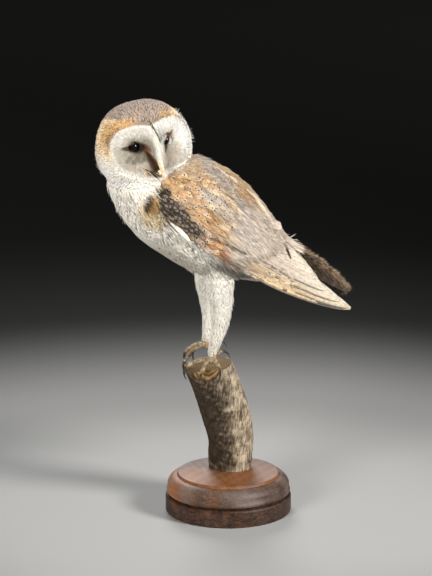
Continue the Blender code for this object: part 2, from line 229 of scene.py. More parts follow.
def stained_hardwood():
    """Oiled stain over straight grain: streaks some 2 mm apart run across the disc, pores are fine dark
    dashes, and dust greys the mouldings where no hand wipes them."""
    made, add, place = new_finish("stained_hardwood", "6B3A22", 0.5, Specular_IOR_Level=0.35)
    grain, pores = (add("TexNoise", {
        "Vector": add("Mapping", {"Vector": place, "Rotation": (0, 0, math.radians(-20)), "Scale": scale}),
        "Scale": 1.0, **look}) for scale, look in (((22, 230, 420), {"Detail": 5, "Distortion": 0.6}),
                                                   ((130, 1300, 1300), {"Detail": 2})))
    streaks = add("ValToRGB", (grain,), stops=((0.36, "22110A"), (0.68, "7C5033")))
    tint = add("Attribute", out="Color", attribute_name="stain")
    stained = add("Mix", {0: 0.72, 6: streaks, 7: tint}, 2, **COLOUR_MIX)
    dashes = add("MapRange", (pores, 0.36, 0.46, 0.75, 1.0))
    shaded = add("Mix", {0: 1.0, 6: stained, 7: dashes}, 2, **SHADED)
    grains = add("MapRange", (add("TexNoise", {"Vector": place, "Scale": 1100, "Detail": 3}), 0.52, 0.66))
    share = add("Math", (grains, add("Attribute", out="Fac", attribute_name="dust")), operation="MULTIPLY")
    dusted = add("Mix", {0: share, 6: shaded, 7: "9C9189"}, 2, **COLOUR_MIX)
    dull = add("MapRange", {"Value": grain, "To Min": 0.38, "To Max": 0.72})
    return dressed(made, dusted, pores, 0.25, 0.0004, dull)


def settled_dust(points):
    """How much dust lies on each place: most on the mouldings, some on the top, in clouds."""
    x, y, z = points.T
    clouds = ease(-0.6, 0.8, ripple(x, y, z, 21, 14))
    return np.where(z > PLINTH_HEIGHT - 3, 0.12, np.where(z > GROOVE_HEIGHT, 0.42, 0.2)) * (0.15 + 0.85 * clouds)


def blend(colour, hex_colour, amount):
    """Colours with a share of another laid over each."""
    return colour + (linear(hex_colour) - colour) * np.clip(amount, 0, 1)[:, None]


def stain_colours(points):
    """The stain's own colour: warm on the top and on one side, greyed by dust on the mouldings."""
    x, y, z = points.T
    top = (np.hypot(x, y) < TOP_RADIUS + 0.5) & (z > PLINTH_HEIGHT - 3)
    moulded = (z > GROOVE_HEIGHT) * ~top
    rubbed = ease(0.1, 0.8, ripple(x, y, z, 34, 8)) * ~top
    side = ease(-0.2, 0.75, (-0.75 * x - 0.66 * y) / PLINTH_RADIUS) * (z > GROOVE_HEIGHT)
    amount = np.where(top, 0.58 + 0.6 * ripple(x + 0.6 * y, 0.35 * y, z, 12, 2), 0.0)
    amount = np.clip(amount + 0.5 * rubbed, 0, 1) + 1.15 * side * ~top
    colour = np.tile(linear("2E231E"), (len(points), 1))
    colour += (linear("875530") - colour) * amount[:, None]
    colour = blend(colour, "7C726B", ease(-0.5, 0.7, ripple(x, y, z, 24, 12)) * moulded * 0.6)
    groove = np.exp(-((z - GROOVE_HEIGHT) / 1.5) ** 2)
    handled = 1 - 0.72 * (z < GROOVE_HEIGHT) * (1 - 0.8 * rubbed) - 0.3 * moulded * (1 - side)
    return colour * handled[:, None] * (1 - 0.75 * groove)[:, None]


points, faces = turned_plinth()
plinth = new_piece("turned_plinth", points, faces, stained_hardwood(), ("plinth",))
point_colours(plinth, "stain", stain_colours(points))
point_colours(plinth, "dust", settled_dust(points)[:, None])

# ----------------------------------------
# Branch: a dry bent length with its bark on, sawn across at both ends, with a split chip off the
# rim of its top. It is held to the plinth by a screw from below.

BRANCH_AXIS = ((-20, 9.5, 48), (-19.5, 9.5, 66), (-16.5, 8, 86), (-11.5, 0.5, 118), (-7.5, -7.5, 143),
               (-1.5, -23, 177), (3, -36, 202))
BRANCH_RADII = (26.7, 26.8, 27, 28.4, 28.6, 28.2, 28.2)
SAWN_TOP = ((0, -20, 184.0), (0.03, -0.13, 1.0))
SPLIT = ((23.4, -34.8, 172.0), (0.81, -0.41, 0.42))
# Dark patches on the bark, as place and reach: the three small ones are stains, the five large ones down the -y side
# are painted shade.
BRANCH_STAINS_AND_SHADE = (((25, -8, 152), 4.5), ((24, -2, 146), 3.5), ((10, -2, 66), 3.0), ((-2, -36, 152), 14.0),
                 ((-4, -30, 128), 16.0), ((-4, -26, 102), 13.0), ((-8, -18, 74), 12.0), ((-28, -16, 120), 18.0))


def smooth_line(points, count):
    """Points evenly spaced in parameter on a Catmull-Rom curve through the given rows."""
    known = np.asarray(points, float).reshape(len(points), -1)
    known = np.concatenate([[2 * known[0] - known[1]], known, [2 * known[-1] - known[-2]]])
    spans = len(known) - 3
    at = np.linspace(0, spans, count)
    span = np.minimum(at.astype(int), spans - 1)
    t = (at - span)[:, None]
    a, b, c, d = (known[span + i] for i in range(4))
    return 0.5 * (2 * b + (c - a) * t + (2 * a - 5 * b + 4 * c - d) * t ** 2 + (3 * b - a - 3 * c + d) * t ** 3)


def unit(vectors):
    """Each vector divided by its own length."""
    return vectors / np.maximum(np.linalg.norm(vectors, axis=-1, keepdims=True), 1e-9)


def round_axis(axis, hint, angle):
    """Unit vectors square to an axis at each of its points, at the angles round it from the hint, and
    the two directions that they are made of."""
    along = unit(np.gradient(axis, axis=0))
    hint = np.broadcast_to(np.asarray(hint, float), axis.shape)
    side = unit(hint - along * np.sum(hint * along, axis=-1, keepdims=True))
    other = np.cross(along, side)
    return np.cos(angle)[..., None] * side[:, None] + np.sin(angle)[..., None] * other[:, None], side, other


def top_height(x, y):
    """The height of the branch's end above each x and y: the lower of the saw cut and the split."""
    return np.minimum(*(pz - (nx * (x - px) + ny * (y - py)) / nz
                        for (px, py, pz), (nx, ny, nz) in (SAWN_TOP, SPLIT)))


def bark_branch(columns=200, rows=190, cap_rows=26):
    """Rings square to the bent axis, their radius times low swellings plus bark up to 0.9 mm deep:
    swellings, and cracks where slow waves cross zero. Each column stops where it meets the branch's
    cut top, and the cap follows that. Returns the colours too: bark's height, end grain, and stains
    together with painted shade down the branch's -y side."""
    axis = smooth_line(BRANCH_AXIS, rows)
    radii = smooth_line(np.array(BRANCH_RADII)[:, None], rows)
    angle = around(columns)[None, :]
    length = np.linspace(0, 12, rows)[:, None]
    ring = round_axis(axis, (1, 0, 0), angle)[0]
    swell = 0.025 * np.sin(3 * angle + 0.9 * length) + 0.02 * np.cos(2 * angle - 0.5 * length)
    wander = 0.35 * np.sin(1.1 * length + 2 * angle) + 0.2 * np.sin(2.3 * length - 3 * angle)
    x, y, z = np.moveaxis(axis[:, None] + ring * (radii * (1 + swell))[..., None], -1, 0)
    crack = 1 - np.clip(np.abs(ripple(x, y, 0.35 * z + wander, 6.5, 21)) * 9, 0, 1)
    check = 1 - np.clip(np.abs(ripple(x, y, 1.3 * z, 5.0, 22)) * 10, 0, 1)
    rough = 0.6 * ripple(x, y, 0.5 * z, 2.6, 23) + 0.5 * ripple(x, y, 0.8 * z, 6, 24)
    bark = 0.45 * rough + 0.25 - 0.55 * crack * (0.6 + 0.4 * rough) - 0.25 * check
    wall = axis[:, None] + ring * (radii * (1 + swell) + bark)[..., None]
    wall[0, :, 2] = PLINTH_HEIGHT + 0.3
    above = wall[..., 2] - top_height(wall[..., 0], wall[..., 1])
    stop = np.argmax(above > 0, axis=0)
    column = np.arange(columns)
    end = stop - 1 - above[stop - 1, column] / (above[stop, column] - above[stop - 1, column])
    at = evenly(rows)[:, None] * end[None, :]
    low = np.minimum(at.astype(int), rows - 2)
    part = (at - low)[..., None]
    wall = wall[low, column[None]] * (1 - part) + wall[low + 1, column[None]] * part
    rim, foot = wall[-1], wall[0].mean(axis=0)
    middle = rim.mean(axis=0)
    reach = np.linspace(1, 0, cap_rows, endpoint=False)[1:, None, None]
    cap = middle + (rim - middle) * reach
    x, y = cap[..., 0], cap[..., 1]
    saw_marks = 0.12 * np.sin(x * 2.4 + y * 0.9) + 0.25 * ripple(x, y, 0 * x, 5, 31)
    cap[..., 2] = top_height(x, y) + (saw_marks - 1.0 * (reach[..., 0] > 0.93))
    base = foot + (wall[0] - foot) * np.linspace(0.1, 1, 8, endpoint=False)[:, None, None]
    grid = np.concatenate([base, wall, cap])
    ends, ridges = np.zeros((2,) + grid.shape[:2])
    ends[len(base) + rows + 1:] = 1
    ridges[len(base):len(base) + rows] = np.clip(bark[low[:, :1].ravel()] * 0.8 + 0.5, 0, 1)
    ends, ridges = (np.append(values.ravel(), (0, 1)) for values in (ends, ridges))
    points, faces = closed_grid(grid, [foot, (*middle[:2], top_height(*middle[:2]))])
    # These stain values hold real stains and painted shade alike.
    stain = sum(np.exp(-np.sum((points - place) ** 2, axis=-1) / far ** 2) for place, far in BRANCH_STAINS_AND_SHADE)
    x, y, z = points.T
    axis_x, axis_y, axis_z = np.array(BRANCH_AXIS).T
    # Painted shade: the bark darkens down its -y side, away from the key light.
    shaded_side = 0.25 * (x - np.interp(z, axis_z, axis_x)) - 0.97 * (y - np.interp(z, axis_z, axis_y))
    stain = stain + 0.85 * ease(2, 20, shaded_side + 7 * ripple(x, y, z, 9, 4) + 3)
    stain = np.clip(stain * (0.95 + 0.3 * ripple(x, y, z, 5, 3)), 0, 0.92) * (1 - ends)
    return points, faces, packed(ridges, ends, stain)


def dry_bark():
    """Weathered bark: grey-buff ridges, dark furrows and stains, painted shade down one side, fine flecks;
    the sawn end shows pale wood with growth rings 1.4 mm apart, browned by handling."""
    made, add, place = new_finish("dry_bark", "84745C", 0.85, Specular_IOR_Level=0.25)
    parts = add("SeparateColor", (add("Attribute", out="Color", attribute_name="bark"),)).node.outputs
    flecks = add("TexNoise", {"Vector": add("Mapping", {"Vector": place, "Scale": (1100, 1100, 420)}),
                              "Scale": 1.0, "Detail": 6, "Roughness": 0.7})
    grain = add("TexNoise", {"Vector": add("Mapping", {"Vector": place, "Scale": (620, 620, 45)}),
                             "Scale": 1.0, "Detail": 3})
    mottle = add("TexNoise", {"Vector": place, "Scale": 75, "Detail": 5, "Roughness": 0.6, "Distortion": 0.8})
    fibres = add("Math", (grain, 0.9, -0.45), operation="MULTIPLY_ADD")
    level = add("Math", (parts[0], flecks, fibres), operation="MULTIPLY_ADD")
    mixed = add("Math", (mottle, 0.9, level), operation="MULTIPLY_ADD")
    tones = add("ValToRGB", (mixed,), stops=((0.42, "221A13"), (0.66, "655746"), (1.0, "B0A18A")))
    # Stains and painted shade darken the bark together here.
    stained = add("Mix", {0: parts[2], 6: tones, 7: "231911"}, 2, **COLOUR_MIX)
    rings = add("TexWave", {"Vector": add("Mapping", (place, (-0.0005, 0.0235, 0))), "Scale": 110, "Distortion": 2.5,
                            "Detail": 3, "Detail Scale": 1.5}, "Fac", wave_type="RINGS", rings_direction="Z")
    wood = add("ValToRGB", (rings,), stops=((0, "3A2817"), (1, "9C8458")))
    aged = add("Mix", {0: mottle, 6: wood, 7: "50351B"}, 2, **COLOUR_MIX)
    final = add("Mix", {0: parts[1], 6: stained, 7: aged}, 2, **COLOUR_MIX)
    return dressed(made, final, level, 0.6, 0.0012)


points, faces, bark_colours = bark_branch()
branch = new_piece("bark_branch", points, faces, dry_bark(), ("branch",))
point_colours(branch, "bark", bark_colours)

# ----------------------------------------
# Skin: one dried skin drawn over the form from the brow to the ankles, under all the plumage. It
# carries the same markings as the feathers and shows only where they part.

FLESH = ("head", "neck", "trunk", "thigh_left", "thigh_right", "shank_left", "shank_right", "wing_left", "wing_right")
HEAD_CENTRE = (8.0, -107.0, 458.7)
TURN = np.array((Matrix.Rotation(math.radians(96), 4, "Z") @ Matrix.Rotation(math.radians(1), 4, "X")
                 @ Matrix.Rotation(math.radians(-9.5), 4, "Y")).to_3x3())
EYE_OUT, EYE_UP = 20.8, 6.5
WING_ROOT = np.array((0.0, -112.0, 424.0))
WING_ALONG = np.array((0.0, 0.833, -0.553))
WING_UP = np.array((0.0, 0.553, 0.833))


def in_head(points):
    """Points in the head's own frame: x to the bird's left, y backwards, z up, from the head's centre."""
    return (points - HEAD_CENTRE) @ TURN


def from_head(points):
    """Places in the head's own frame, turned with the head and moved to its centre."""
    return points @ TURN.T + HEAD_CENTRE


def on_wing(points):
    """How far each place lies along the folded wing from the wrist, and up across it."""
    return (points - WING_ROOT) @ WING_ALONG, (points - WING_ROOT) @ WING_UP


def merged(name):
    """A CAD node as a bmesh with its loose corners merged."""
    bm = bmesh.new()
    bm.from_mesh(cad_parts[name].data)
    bmesh.ops.remove_doubles(bm, verts=bm.verts, dist=1e-6)
    return bm


def tree_of(name):
    """A search tree in millimetres over a solid's merged faces."""
    bm = merged(name)
    bmesh.ops.scale(bm, vec=(1 / MM,) * 3, verts=bm.verts)
    tree = BVHTree.FromBMesh(bm)
    bm.free()
    return tree


def smoothed_voxels(bm, size, rounds):
    """The joined form of a bmesh, made again of voxels and smoothed: its points in millimetres, its
    normals and its four-cornered faces."""
    mesh = bpy.data.meshes.new("form")
    bm.to_mesh(mesh)
    bm.free()
    obj = new_object("form", mesh)
    voxels = obj.modifiers.new("voxels", "REMESH")
    voxels.mode, voxels.voxel_size = "VOXEL", size * MM
    even = obj.modifiers.new("even", "SMOOTH")
    even.factor, even.iterations = 0.5, rounds
    done = bpy.data.meshes.new_from_object(obj.evaluated_get(bpy.context.evaluated_depsgraph_get()))
    bpy.data.objects.remove(obj)
    points, normals = np.zeros((2, len(done.vertices) * 3), np.float32)
    done.vertices.foreach_get("co", points)
    done.vertex_normals.foreach_get("vector", normals)
    corners = np.zeros(len(done.loops), np.int32)
    done.loops.foreach_get("vertex_index", corners)
    bpy.data.meshes.remove(done)
    return points.reshape(-1, 3).astype(float) / MM, normals.reshape(-1, 3).astype(float), corners.reshape(-1, 4)


def joined_form():
    """The flesh nodes grown 0.5 mm into each other, joined as voxels of 1.5 mm, and smoothed. The wings'
    thin ends are cut off."""
    whole = bmesh.new()
    for name in FLESH:
        part = merged(name)
        part.normal_update()
        grown = [v.co + v.normal * (0.5 * MM) for v in part.verts]
        for vert, place in zip(part.verts, grown):
            vert.co = place
        if name.startswith("wing"):
            bmesh.ops.bisect_plane(part, geom=part.verts[:] + part.edges[:] + part.faces[:], clear_outer=True,
                                   plane_co=(WING_ROOT + 215 * WING_ALONG) * MM, plane_no=WING_ALONG)
            bmesh.ops.holes_fill(part, edges=[e for e in part.edges if e.is_boundary])
        spare = bpy.data.meshes.new("part")
        part.to_mesh(spare)
        part.free()
        whole.from_mesh(spare)
        bpy.data.meshes.remove(spare)
    return smoothed_voxels(whole, 1.5, 14)


def largest_shell(points, normals, quads):
    """Only the outermost shell: the bubbles left inside the form where its parts overlap are dropped."""
    label = np.arange(len(points))
    edges = np.concatenate([quads[:, :2], quads[:, 1:3], quads[:, 2:]])
    while True:
        low = np.minimum(label[edges[:, 0]], label[edges[:, 1]])
        spread = label.copy()
        np.minimum.at(spread, edges[:, 0], low)
        np.minimum.at(spread, edges[:, 1], low)
        spread = spread[spread]
        if (spread == label).all():
            break
        label = spread
    kept = label == np.bincount(label).argmax()
    number = np.cumsum(kept) - 1
    return points[kept], normals[kept], number[quads[kept[quads[:, 0]]]]


def coat_depth(points):
    """How deep the plumage lies over the skin, in millimetres: least on the face, the wings and the ankles."""
    h = in_head(points)
    x, y, z = points.T
    on_head = ease(-62, -40, h[:, 2]) * (np.abs(h[:, 0]) < 64) * (np.abs(h[:, 1]) < 60)
    face = on_head * ease(-6, -18, h[:, 1])
    leg, ankle = (ease(*span, z) * (y < 5) for span in ((285, 262), (255, 208)))
    wing = ease(47, 50, np.abs(x)) * (1 - on_head)
    tip = ease(20, 60, y) * ease(30, 36, np.abs(x))
    depth = 4.2 - 1.2 * on_head - 1.8 * face - 1.0 * leg - 1.4 * ankle
    return np.maximum(depth - (2.4 - 1.7 * tip) * np.maximum(wing, tip) * (1 - leg), 0.9)


form_points, form_normals, form_quads = largest_shell(*joined_form())
form_tree = BVHTree.FromPolygons([Vector(p) for p in form_points], form_quads.tolist())

# Markings, with some painted shade. One function gives the plumage's colour at any place on the bird, for skin and coat
# alike.

# The edge of the right half of the heart-shaped disc, as (out, up) in the head's frame.
DISC_EDGE = ((0, 30), (8, 32), (20, 33.5), (33, 32), (43, 26), (49, 16), (50.6, 5), (48, -9), (42, -18),
             (35, -22.5), (24, -28), (12, -33), (0, -36))
# Each eye's opening between its lids, in the head's plane: centre, half-length, half-height, slant.
APERTURES = {"right": ((-18.6, 5.2), 7.8, 4.6, -4), "left": ((19.6, 3.2), 6.0, 1.8, 56)}
# The parting up the brow, and the dark line beside the ridge between the two halves of the disc, which is
# dark feathers and painted shade on the ridge's shaded side together.
CREASE = ((0.5, 34), (1.8, 27), (3.6, 20), (6.6, 10))
LORE = ((-11, 3), (-8.6, -3.5), (-7, -9.5), (-5.4, -15), (-2.6, -23), (0.6, -29))


def line_distance(x, z, line):
    """Distance of each place from a line of points, with the line's nearest step and the way from it."""
    line = np.array(line, float)
    start, step = line[:-1], np.diff(line, axis=0)
    offset = packed(x, z)[:, None] - start
    share = np.clip(np.sum(offset * step, axis=-1) / np.sum(step * step, axis=-1), 0, 1)
    apart = np.linalg.norm(offset - share[..., None] * step, axis=-1)
    nearest = np.argmin(apart, axis=1)
    return apart.min(axis=1), step[nearest], offset[np.arange(len(x)), nearest]


def disc_distance(x, z):
    """Distance outside the disc's edge (negative inside), measured in the plane across the face."""
    apart, step, offset = line_distance(np.abs(x), z, smooth_line(DISC_EDGE, 60))
    inward = step[:, 0] * offset[:, 1] - step[:, 1] * offset[:, 0]
    return apart * np.where(inward > 0, 1, -1)


def turned_by(a, b, degrees):
    """Coordinates along two axes turned by an angle."""
    c, s = math.cos(math.radians(degrees)), math.sin(math.radians(degrees))
    return a * c + b * s, b * c - a * s


def lid_distance(x, z):
    """Distance outside the edge of the nearer eye's opening, exact along the opening's axes."""
    nearer = []
    for (cx, cz), long, high, slant in APERTURES.values():
        a, b = turned_by(x - cx, z - cz, slant)
        far = np.hypot(a / long, b / high)
        nearer.append((far - 1) * np.hypot(a, b) / np.maximum(far, 1e-6))
    return np.minimum(*nearer)


def spot(u, v, centre, reach, turn=0.0):
    """1 at a centre, falling to 0 at an ellipse with two reaches, its first axis turned by degrees."""
    a, b = turned_by(u - centre[0], v - centre[1], turn)
    return np.clip(1.25 - np.hypot(a / reach[0], b / reach[1]), 0, 0.5) * 2


def painted(colour, *coats):
    """Colours with coats laid over them in turn, each a hex colour and its amount at each place."""
    for tone, amount in coats:
        colour = blend(colour, tone, amount)
    return colour


def plain(tone, like):
    """One colour for each of the places."""
    return np.tile(linear(tone), (len(like), 1))


def head_colour(h, points):
    """Mottled grey-brown crown down to the brow, golden surround at its sides that pales downwards,
    dusky white disc that is dirtier round and under the bird's right eye."""
    x, y, z = h.T
    wander, fine = ripple(*points.T, 9, 41), ripple(*points.T, 3.2, 42)
    left, right, front = ease(16, 34, x), x < 3, y < 2
    edge = disc_distance(x, z) - 4.5 * left * ease(34, 26, z)
    brow_line = 29 + np.where(x < 0, 0.0125, 0.006) * (x + 2) ** 2 - 0.28 * np.maximum(y + 16, 0)
    crown = ease(-3, 5, z - np.maximum(brow_line, -6) + 2.5 * wander + 2.0 * fine)
    colour = painted(
        plain("F4F0E8", h),
        ("D6CDBD", ease(4, -10, z) * ease(14, 30, x) * ease(-34, -20, y)),
        ("FBE0B8", ease(-18, 12, z + 4 * wander - 0.25 * y)
         * (1 - 0.9 * ease(26, 36, x) * ease(16, 0, y) * ease(36, 28, z))),
        ("A8978A", crown * 0.95)) * (1 + 0.13 * crown * fine)[:, None]
    ruff = front * ease(10, 5, edge) * ease(-1.5, 1.0, edge)
    golden = ease(2, 22, z + 3 * wander) * (1 - 0.6 * left) * (ease(8, 26, -x) + 0.7 * ease(10, 24, x))
    inside = front * ease(0.6, -1.5, edge)
    near = lid_distance(x, z) + 1.2 * wander
    dirt = np.where(right, 0.3 + 0.55 * ease(22, 4, z + 5 * wander), 0.5 * ease(2, -10, z + 4 * wander)
                    * ease(44, 30, x))
    dusk = ease(16, 3, near) * inside * np.where(right, 1.0, 0.35)
    under = (spot(x, z, (-21, -7), (14, 6)) + 0.35 * spot(x, z, (20, -9), (10, 8))) * inside
    rim = ease(-5.5, -3.0, edge) * ease(0.0, -1.5, edge) * inside * ease(24, 10, z)
    lore = line_distance(x, z, LORE)[0] / (1.6 + 2.0 * ease(-2, -20, z))
    rust = np.maximum(spot(x, z, (-9.6, 4.2), (6.0, 2.8), -62), spot(x, z, (24.5, 10), (8, 2.4), 56)) * inside
    slit = np.maximum(spot(x, z, (-29, 7.0), (8.5, 2.8), -12), 0.9 * spot(x, z, (16.0, -3.6), (5, 1.8), 56)) * inside
    ridge = spot(x, z, (1.5, 0), (4.4, 30)) * inside * ease(26, 16, z)
    stained = np.maximum(spot(x, z, (17, -14), (12, 10), 30), 0.8 * spot(x, z, (30, -6), (9, 5), 60)) * inside
    parting = line_distance(x, z, CREASE)[0] - 0.5 * ease(24, 14, z)
    return painted(
        colour,
        ("B39169", ease(8, 34, y) * ease(-44, -8, z) * 0.7),
        ("DDB277", ruff * golden * 0.9),
        ("F3EEE4", ruff * ease(8, -14, z - 18 * left)),
        ("F3F0E9", inside),
        ("BDB2A0", dirt * inside * ease(-1.0, -6.0, edge)),
        ("A9A08E", dusk * 0.8),
        ("6F6757", under * (0.62 + 0.35 * fine)),
        ("F1EDE4", rim * 0.7),
        # Painted shadow: a brown line and a grey-beige band at the disc's edge on its right half, under the ruff's
        # raised rim.
        ("6B4E33", front * np.exp(-((edge - 0.6) / 1.2) ** 2) * ease(-6, 12, z) * (1 - left) * (0.4 + 0.4 * fine)),
        ("9A8B74", front * np.exp(-((edge - 1.0) / 1.0) ** 2) * ease(6, -6, z) * (1 - left) * 0.45),
        # The dark line beside the ridge: dark feathers, with painted shade on the ridge's shaded side.
        ("6A431D", ease(1.8, 0.9, lore) * inside * 0.85),
        ("46280C", ease(1.2, 0.3, lore) * inside * 0.9 * ease(6, -4, z)),
        ("8F5A34", rust * 0.9),
        ("43311F", slit * 0.95),
        ("6B5542", ease(5.0, 1.2, near) * inside * np.where(right, 0.7, 0.35)),
        ("2A1F16", ease(2.6, 0.6, near) * inside * np.where(right, 0.95, 0.7)),
        ("F3EEE2", ridge * ease(0.8, 1.6, lore)),
        ("C4B193", stained * (0.45 + 0.35 * fine)),
        ("32261D", ease(1.5 + 0.7 * fine, 0.5, parting) * front * 0.9))


# The wings' and the back's patches of colour: (along, up) place, reaches and turn, in millimetres on
# the folded wing, measured from the wrist along the wing and up across it.
GREY_PATCHES = (((85, 19), (27, 10), -12), ((98, -22), (14, 7), -20), ((66, 49), (34, 9), -14),
                ((130, 10), (26, 14), -16), ((118, 32), (16, 8), -16))
DARK_PATCHES = (((46, -16), (28, 13), -10), ((24, -8), (10, 12), 0), ((74, -22), (16, 8), -20),
                ((197, 14), (15, 4), -30))
GOLD_PATCHES = (((38, 14), (24, 10), 24), ((78, -2), (36, 9), -12), ((134, 40), (30, 6), -16),
                ((66, 32), (14, 8), 10), ((128, -23), (14, 7), 0))
RUST_PATCHES = (((112, -26), (19, 8), -5), ((46, 2), (9, 4), -20))
BROWN_PATCHES = (((138, -33), (24, 5), 4), ((90, -27), (13, 6), -8))
# Where the wing starts behind its wrist, and where the white of the neck gives way to the mantle:
# along the wing, for heights up across it.
WING_START = ((-32, -22, -15, -8, 7, 25, 34, 54), (46, 31, 23, 16, 12, 19, 25, 36))
MANTLE_START = ((-20, -10, 7, 25, 34, 54), (12, 12, 13, 20, 26, 37))


def patched(u, v, patches):
    """The strongest of several spots at each place."""
    return np.max([spot(u, v, *patch) for patch in patches], axis=0)


def wing_colour(points):
    """Golden buff with grey, slate and rust patches; the flight feathers pale to a greyish cream."""
    u, v = on_wing(points)
    u, v = u + 5 * ripple(*points.T, 17, 51), v + 3 * ripple(*points.T, 13, 52)
    return painted(plain("BFA585", points),
                   ("B48B5C", patched(u, v, GOLD_PATCHES) * 0.9), ("A79C93", patched(u, v, GREY_PATCHES) * 0.9),
                   ("CBC0B4", ease(108, 146, u - 0.1 * v) * 0.8), ("6E5541", patched(u, v, BROWN_PATCHES) * 0.75),
                   ("B06A2C", patched(u, v, RUST_PATCHES) * 0.92), ("1B1614", patched(u, v, DARK_PATCHES) * 0.97))


def behind(u, v, start):
    """How far behind the start of the wing or the mantle each place lies."""
    return u - np.interp(v, *start)


def plumage(points, part):
    """The colour at each place; part says which of head, body, wing or leg the place belongs to."""
    if part == "leg":
        return blend(plain("EAE5DB", points), "CFC6B4", ease(225, 205, points[:, 2]) * 0.5)
    mantle = wing_colour(points)
    if part == "wing":
        return mantle
    h = in_head(points)
    u, v = on_wing(points)
    past_neck = behind(u, v, MANTLE_START)
    if part == "head":
        colour, back = head_colour(h, points), ease(-1, 4, past_neck) * ease(-26, -34, h[:, 2])
        return colour + (mantle - colour) * back[:, None]
    wander = ripple(*points.T, 22, 61)
    outside = ease(18, 28, points[:, 0])
    wing_edge_shadow = ease(-6, 0, v - np.interp(u, (128, 156, 185), (-48, -44, -40)))
    colour = painted(
        plain("FAF4E8", points),
        ("D9C292", spot(u, v, (30, -34), (20, 13), -20) * outside * 0.8),
        ("B48A52", spot(u, v, (24, -22), (6, 14), 25) * outside * 0.9),
        # Painted shadow: a dark brown spot in the armpit beside the wrist.
        ("43290F", spot(u, v, (17.5, -25), (4.5, 13), 25) * outside * 0.95),
        ("D5C9B5", ease(-44, -58, v) * ease(50, 80, u) * ease(142, 128, u) * 0.5),
        # Painted shadow: a brown-grey band on the flank just under the wing's lower edge.
        ("6E6253", ease(122, 134, u) * ease(-30, -36, v) * wing_edge_shadow * outside * 0.75),
        # Painted shade: the white of the neck and upper breast is greyed a little where the key light falls full on it.
        ("E2DACB", ease(-16, 6, v) * ease(-40, -5, u) * 0.8))
    under_wing = ease(18, 28, np.abs(points[:, 0])) * ease(-1, 4, behind(u, v, WING_START)) * ease(-34, -28, v)
    nape = ease(2, 26, h[:, 1] + 6 * wander) * ease(60, 20, u) * ease(-20, -2, v)
    back = np.maximum(np.maximum(ease(-16, 2, v) * ease(-2, 4, past_neck + 2 * wander), nape), under_wing)
    return colour + (mantle - colour) * back[:, None]


PARTS = ("body", "head", "wing", "leg")


def part_of_points(points):
    """The number of the part that each place belongs to."""
    across, back, up = in_head(points).T
    out, y, z = np.abs(points[:, 0]), points[:, 1], points[:, 2]
    part = np.zeros(len(points), int)
    part[(z < 296) & (y < 4)] = 3
    part[(out > 46.5) & (y > -104) & (z > 296) | (y > 20) & (out > 31)] = 2
    in_skull = (np.abs(across) < 60) & (np.abs(back) < 47) & (up > -47)
    part[in_skull & (up > -40 + 0.25 * np.maximum(back, 0))] = 1
    return part


def plumage_everywhere(points):
    """The plumage colour at each place, by the part of the bird it lies on."""
    colours = np.zeros((len(points), 3))
    part = part_of_points(points)
    for number, word in enumerate(PARTS):
        colours[part == number] = plumage(points[part == number], word)
    return colours


def downy_finish(name, colour, roughness, speckle, sockets, relief=()):
    """A matt finish in the plumage's colours, shaded by specks: their scale, detail and range."""
    made, add, place = new_finish(name, colour, roughness, **sockets)
    scale, detail, span = speckle
    specks = add("TexNoise", {"Vector": place, "Scale": scale, "Detail": detail})
    marks = add("Attribute", out="Color", attribute_name="plumage")
    mixed = add("Mix", {0: 1.0, 6: marks, 7: add("MapRange", (specks, *span))}, 2, **SHADED)
    return dressed(made, mixed, *(specks, *relief) if relief else ())


# Dry skin under down: matt, as pale or dark as the feathers over it, mottled a few tenths of a
# millimetre across like down.
DOWNY_SKIN = downy_finish("downy_skin", "D8D0C0", 0.9, (1400, 3, (0.0, 1.0, 0.62, 1.0)),
                          {"Specular_IOR_Level": 0.2}, (0.6, 0.0006))
# The folded wing's end is thin: its inner side hardly sinks, or it would come out through the flights.
facing_in = ease(0.3, -0.1, np.sign(form_points[:, 0]) * form_normals[:, 0])
thin_end = ease(12, 24, form_points[:, 1]) * ease(28, 34, np.abs(form_points[:, 0])) * facing_in
skin_points = form_points - form_normals * (coat_depth(form_points) * (1 - 0.85 * thin_end))[:, None]
skin = new_piece("bird_skin", skin_points, [form_quads], DOWNY_SKIN, (*FLESH, "tail"))
point_colours(skin, "plumage", plumage_everywhere(form_points) * 0.92)

# ----------------------------------------
# Coat: contour feathers rooted in the skin, each a thin closed blade that rises from its root and
# lies back along the body over the next. Soft feathers are fans of narrow blades.

LEAF = np.array(((-1, 0), (0, 1), (1, 0)), float)
BODY_LIE = np.array((0.0, 0.70, -0.71))
# Loose-webbed contour feathers: matt, a little sheen at a glancing view, streaked along each barb.
SOFT = downy_finish("soft_feathers", "E8E4DA", 0.85, (900, 2, (0.3, 0.6, 0.92, 1.0)),
                    {"Specular_IOR_Level": 0.15, "Sheen_Weight": 0.1})


def nearest_on_form(points):
    """The nearest places of the form's surface and the directions out of it there."""
    found = [form_tree.find_nearest(p) for p in points.reshape(-1, 3).tolist()]
    return (np.array([hit[i] for hit in found]).reshape(points.shape) for i in (0, 1))


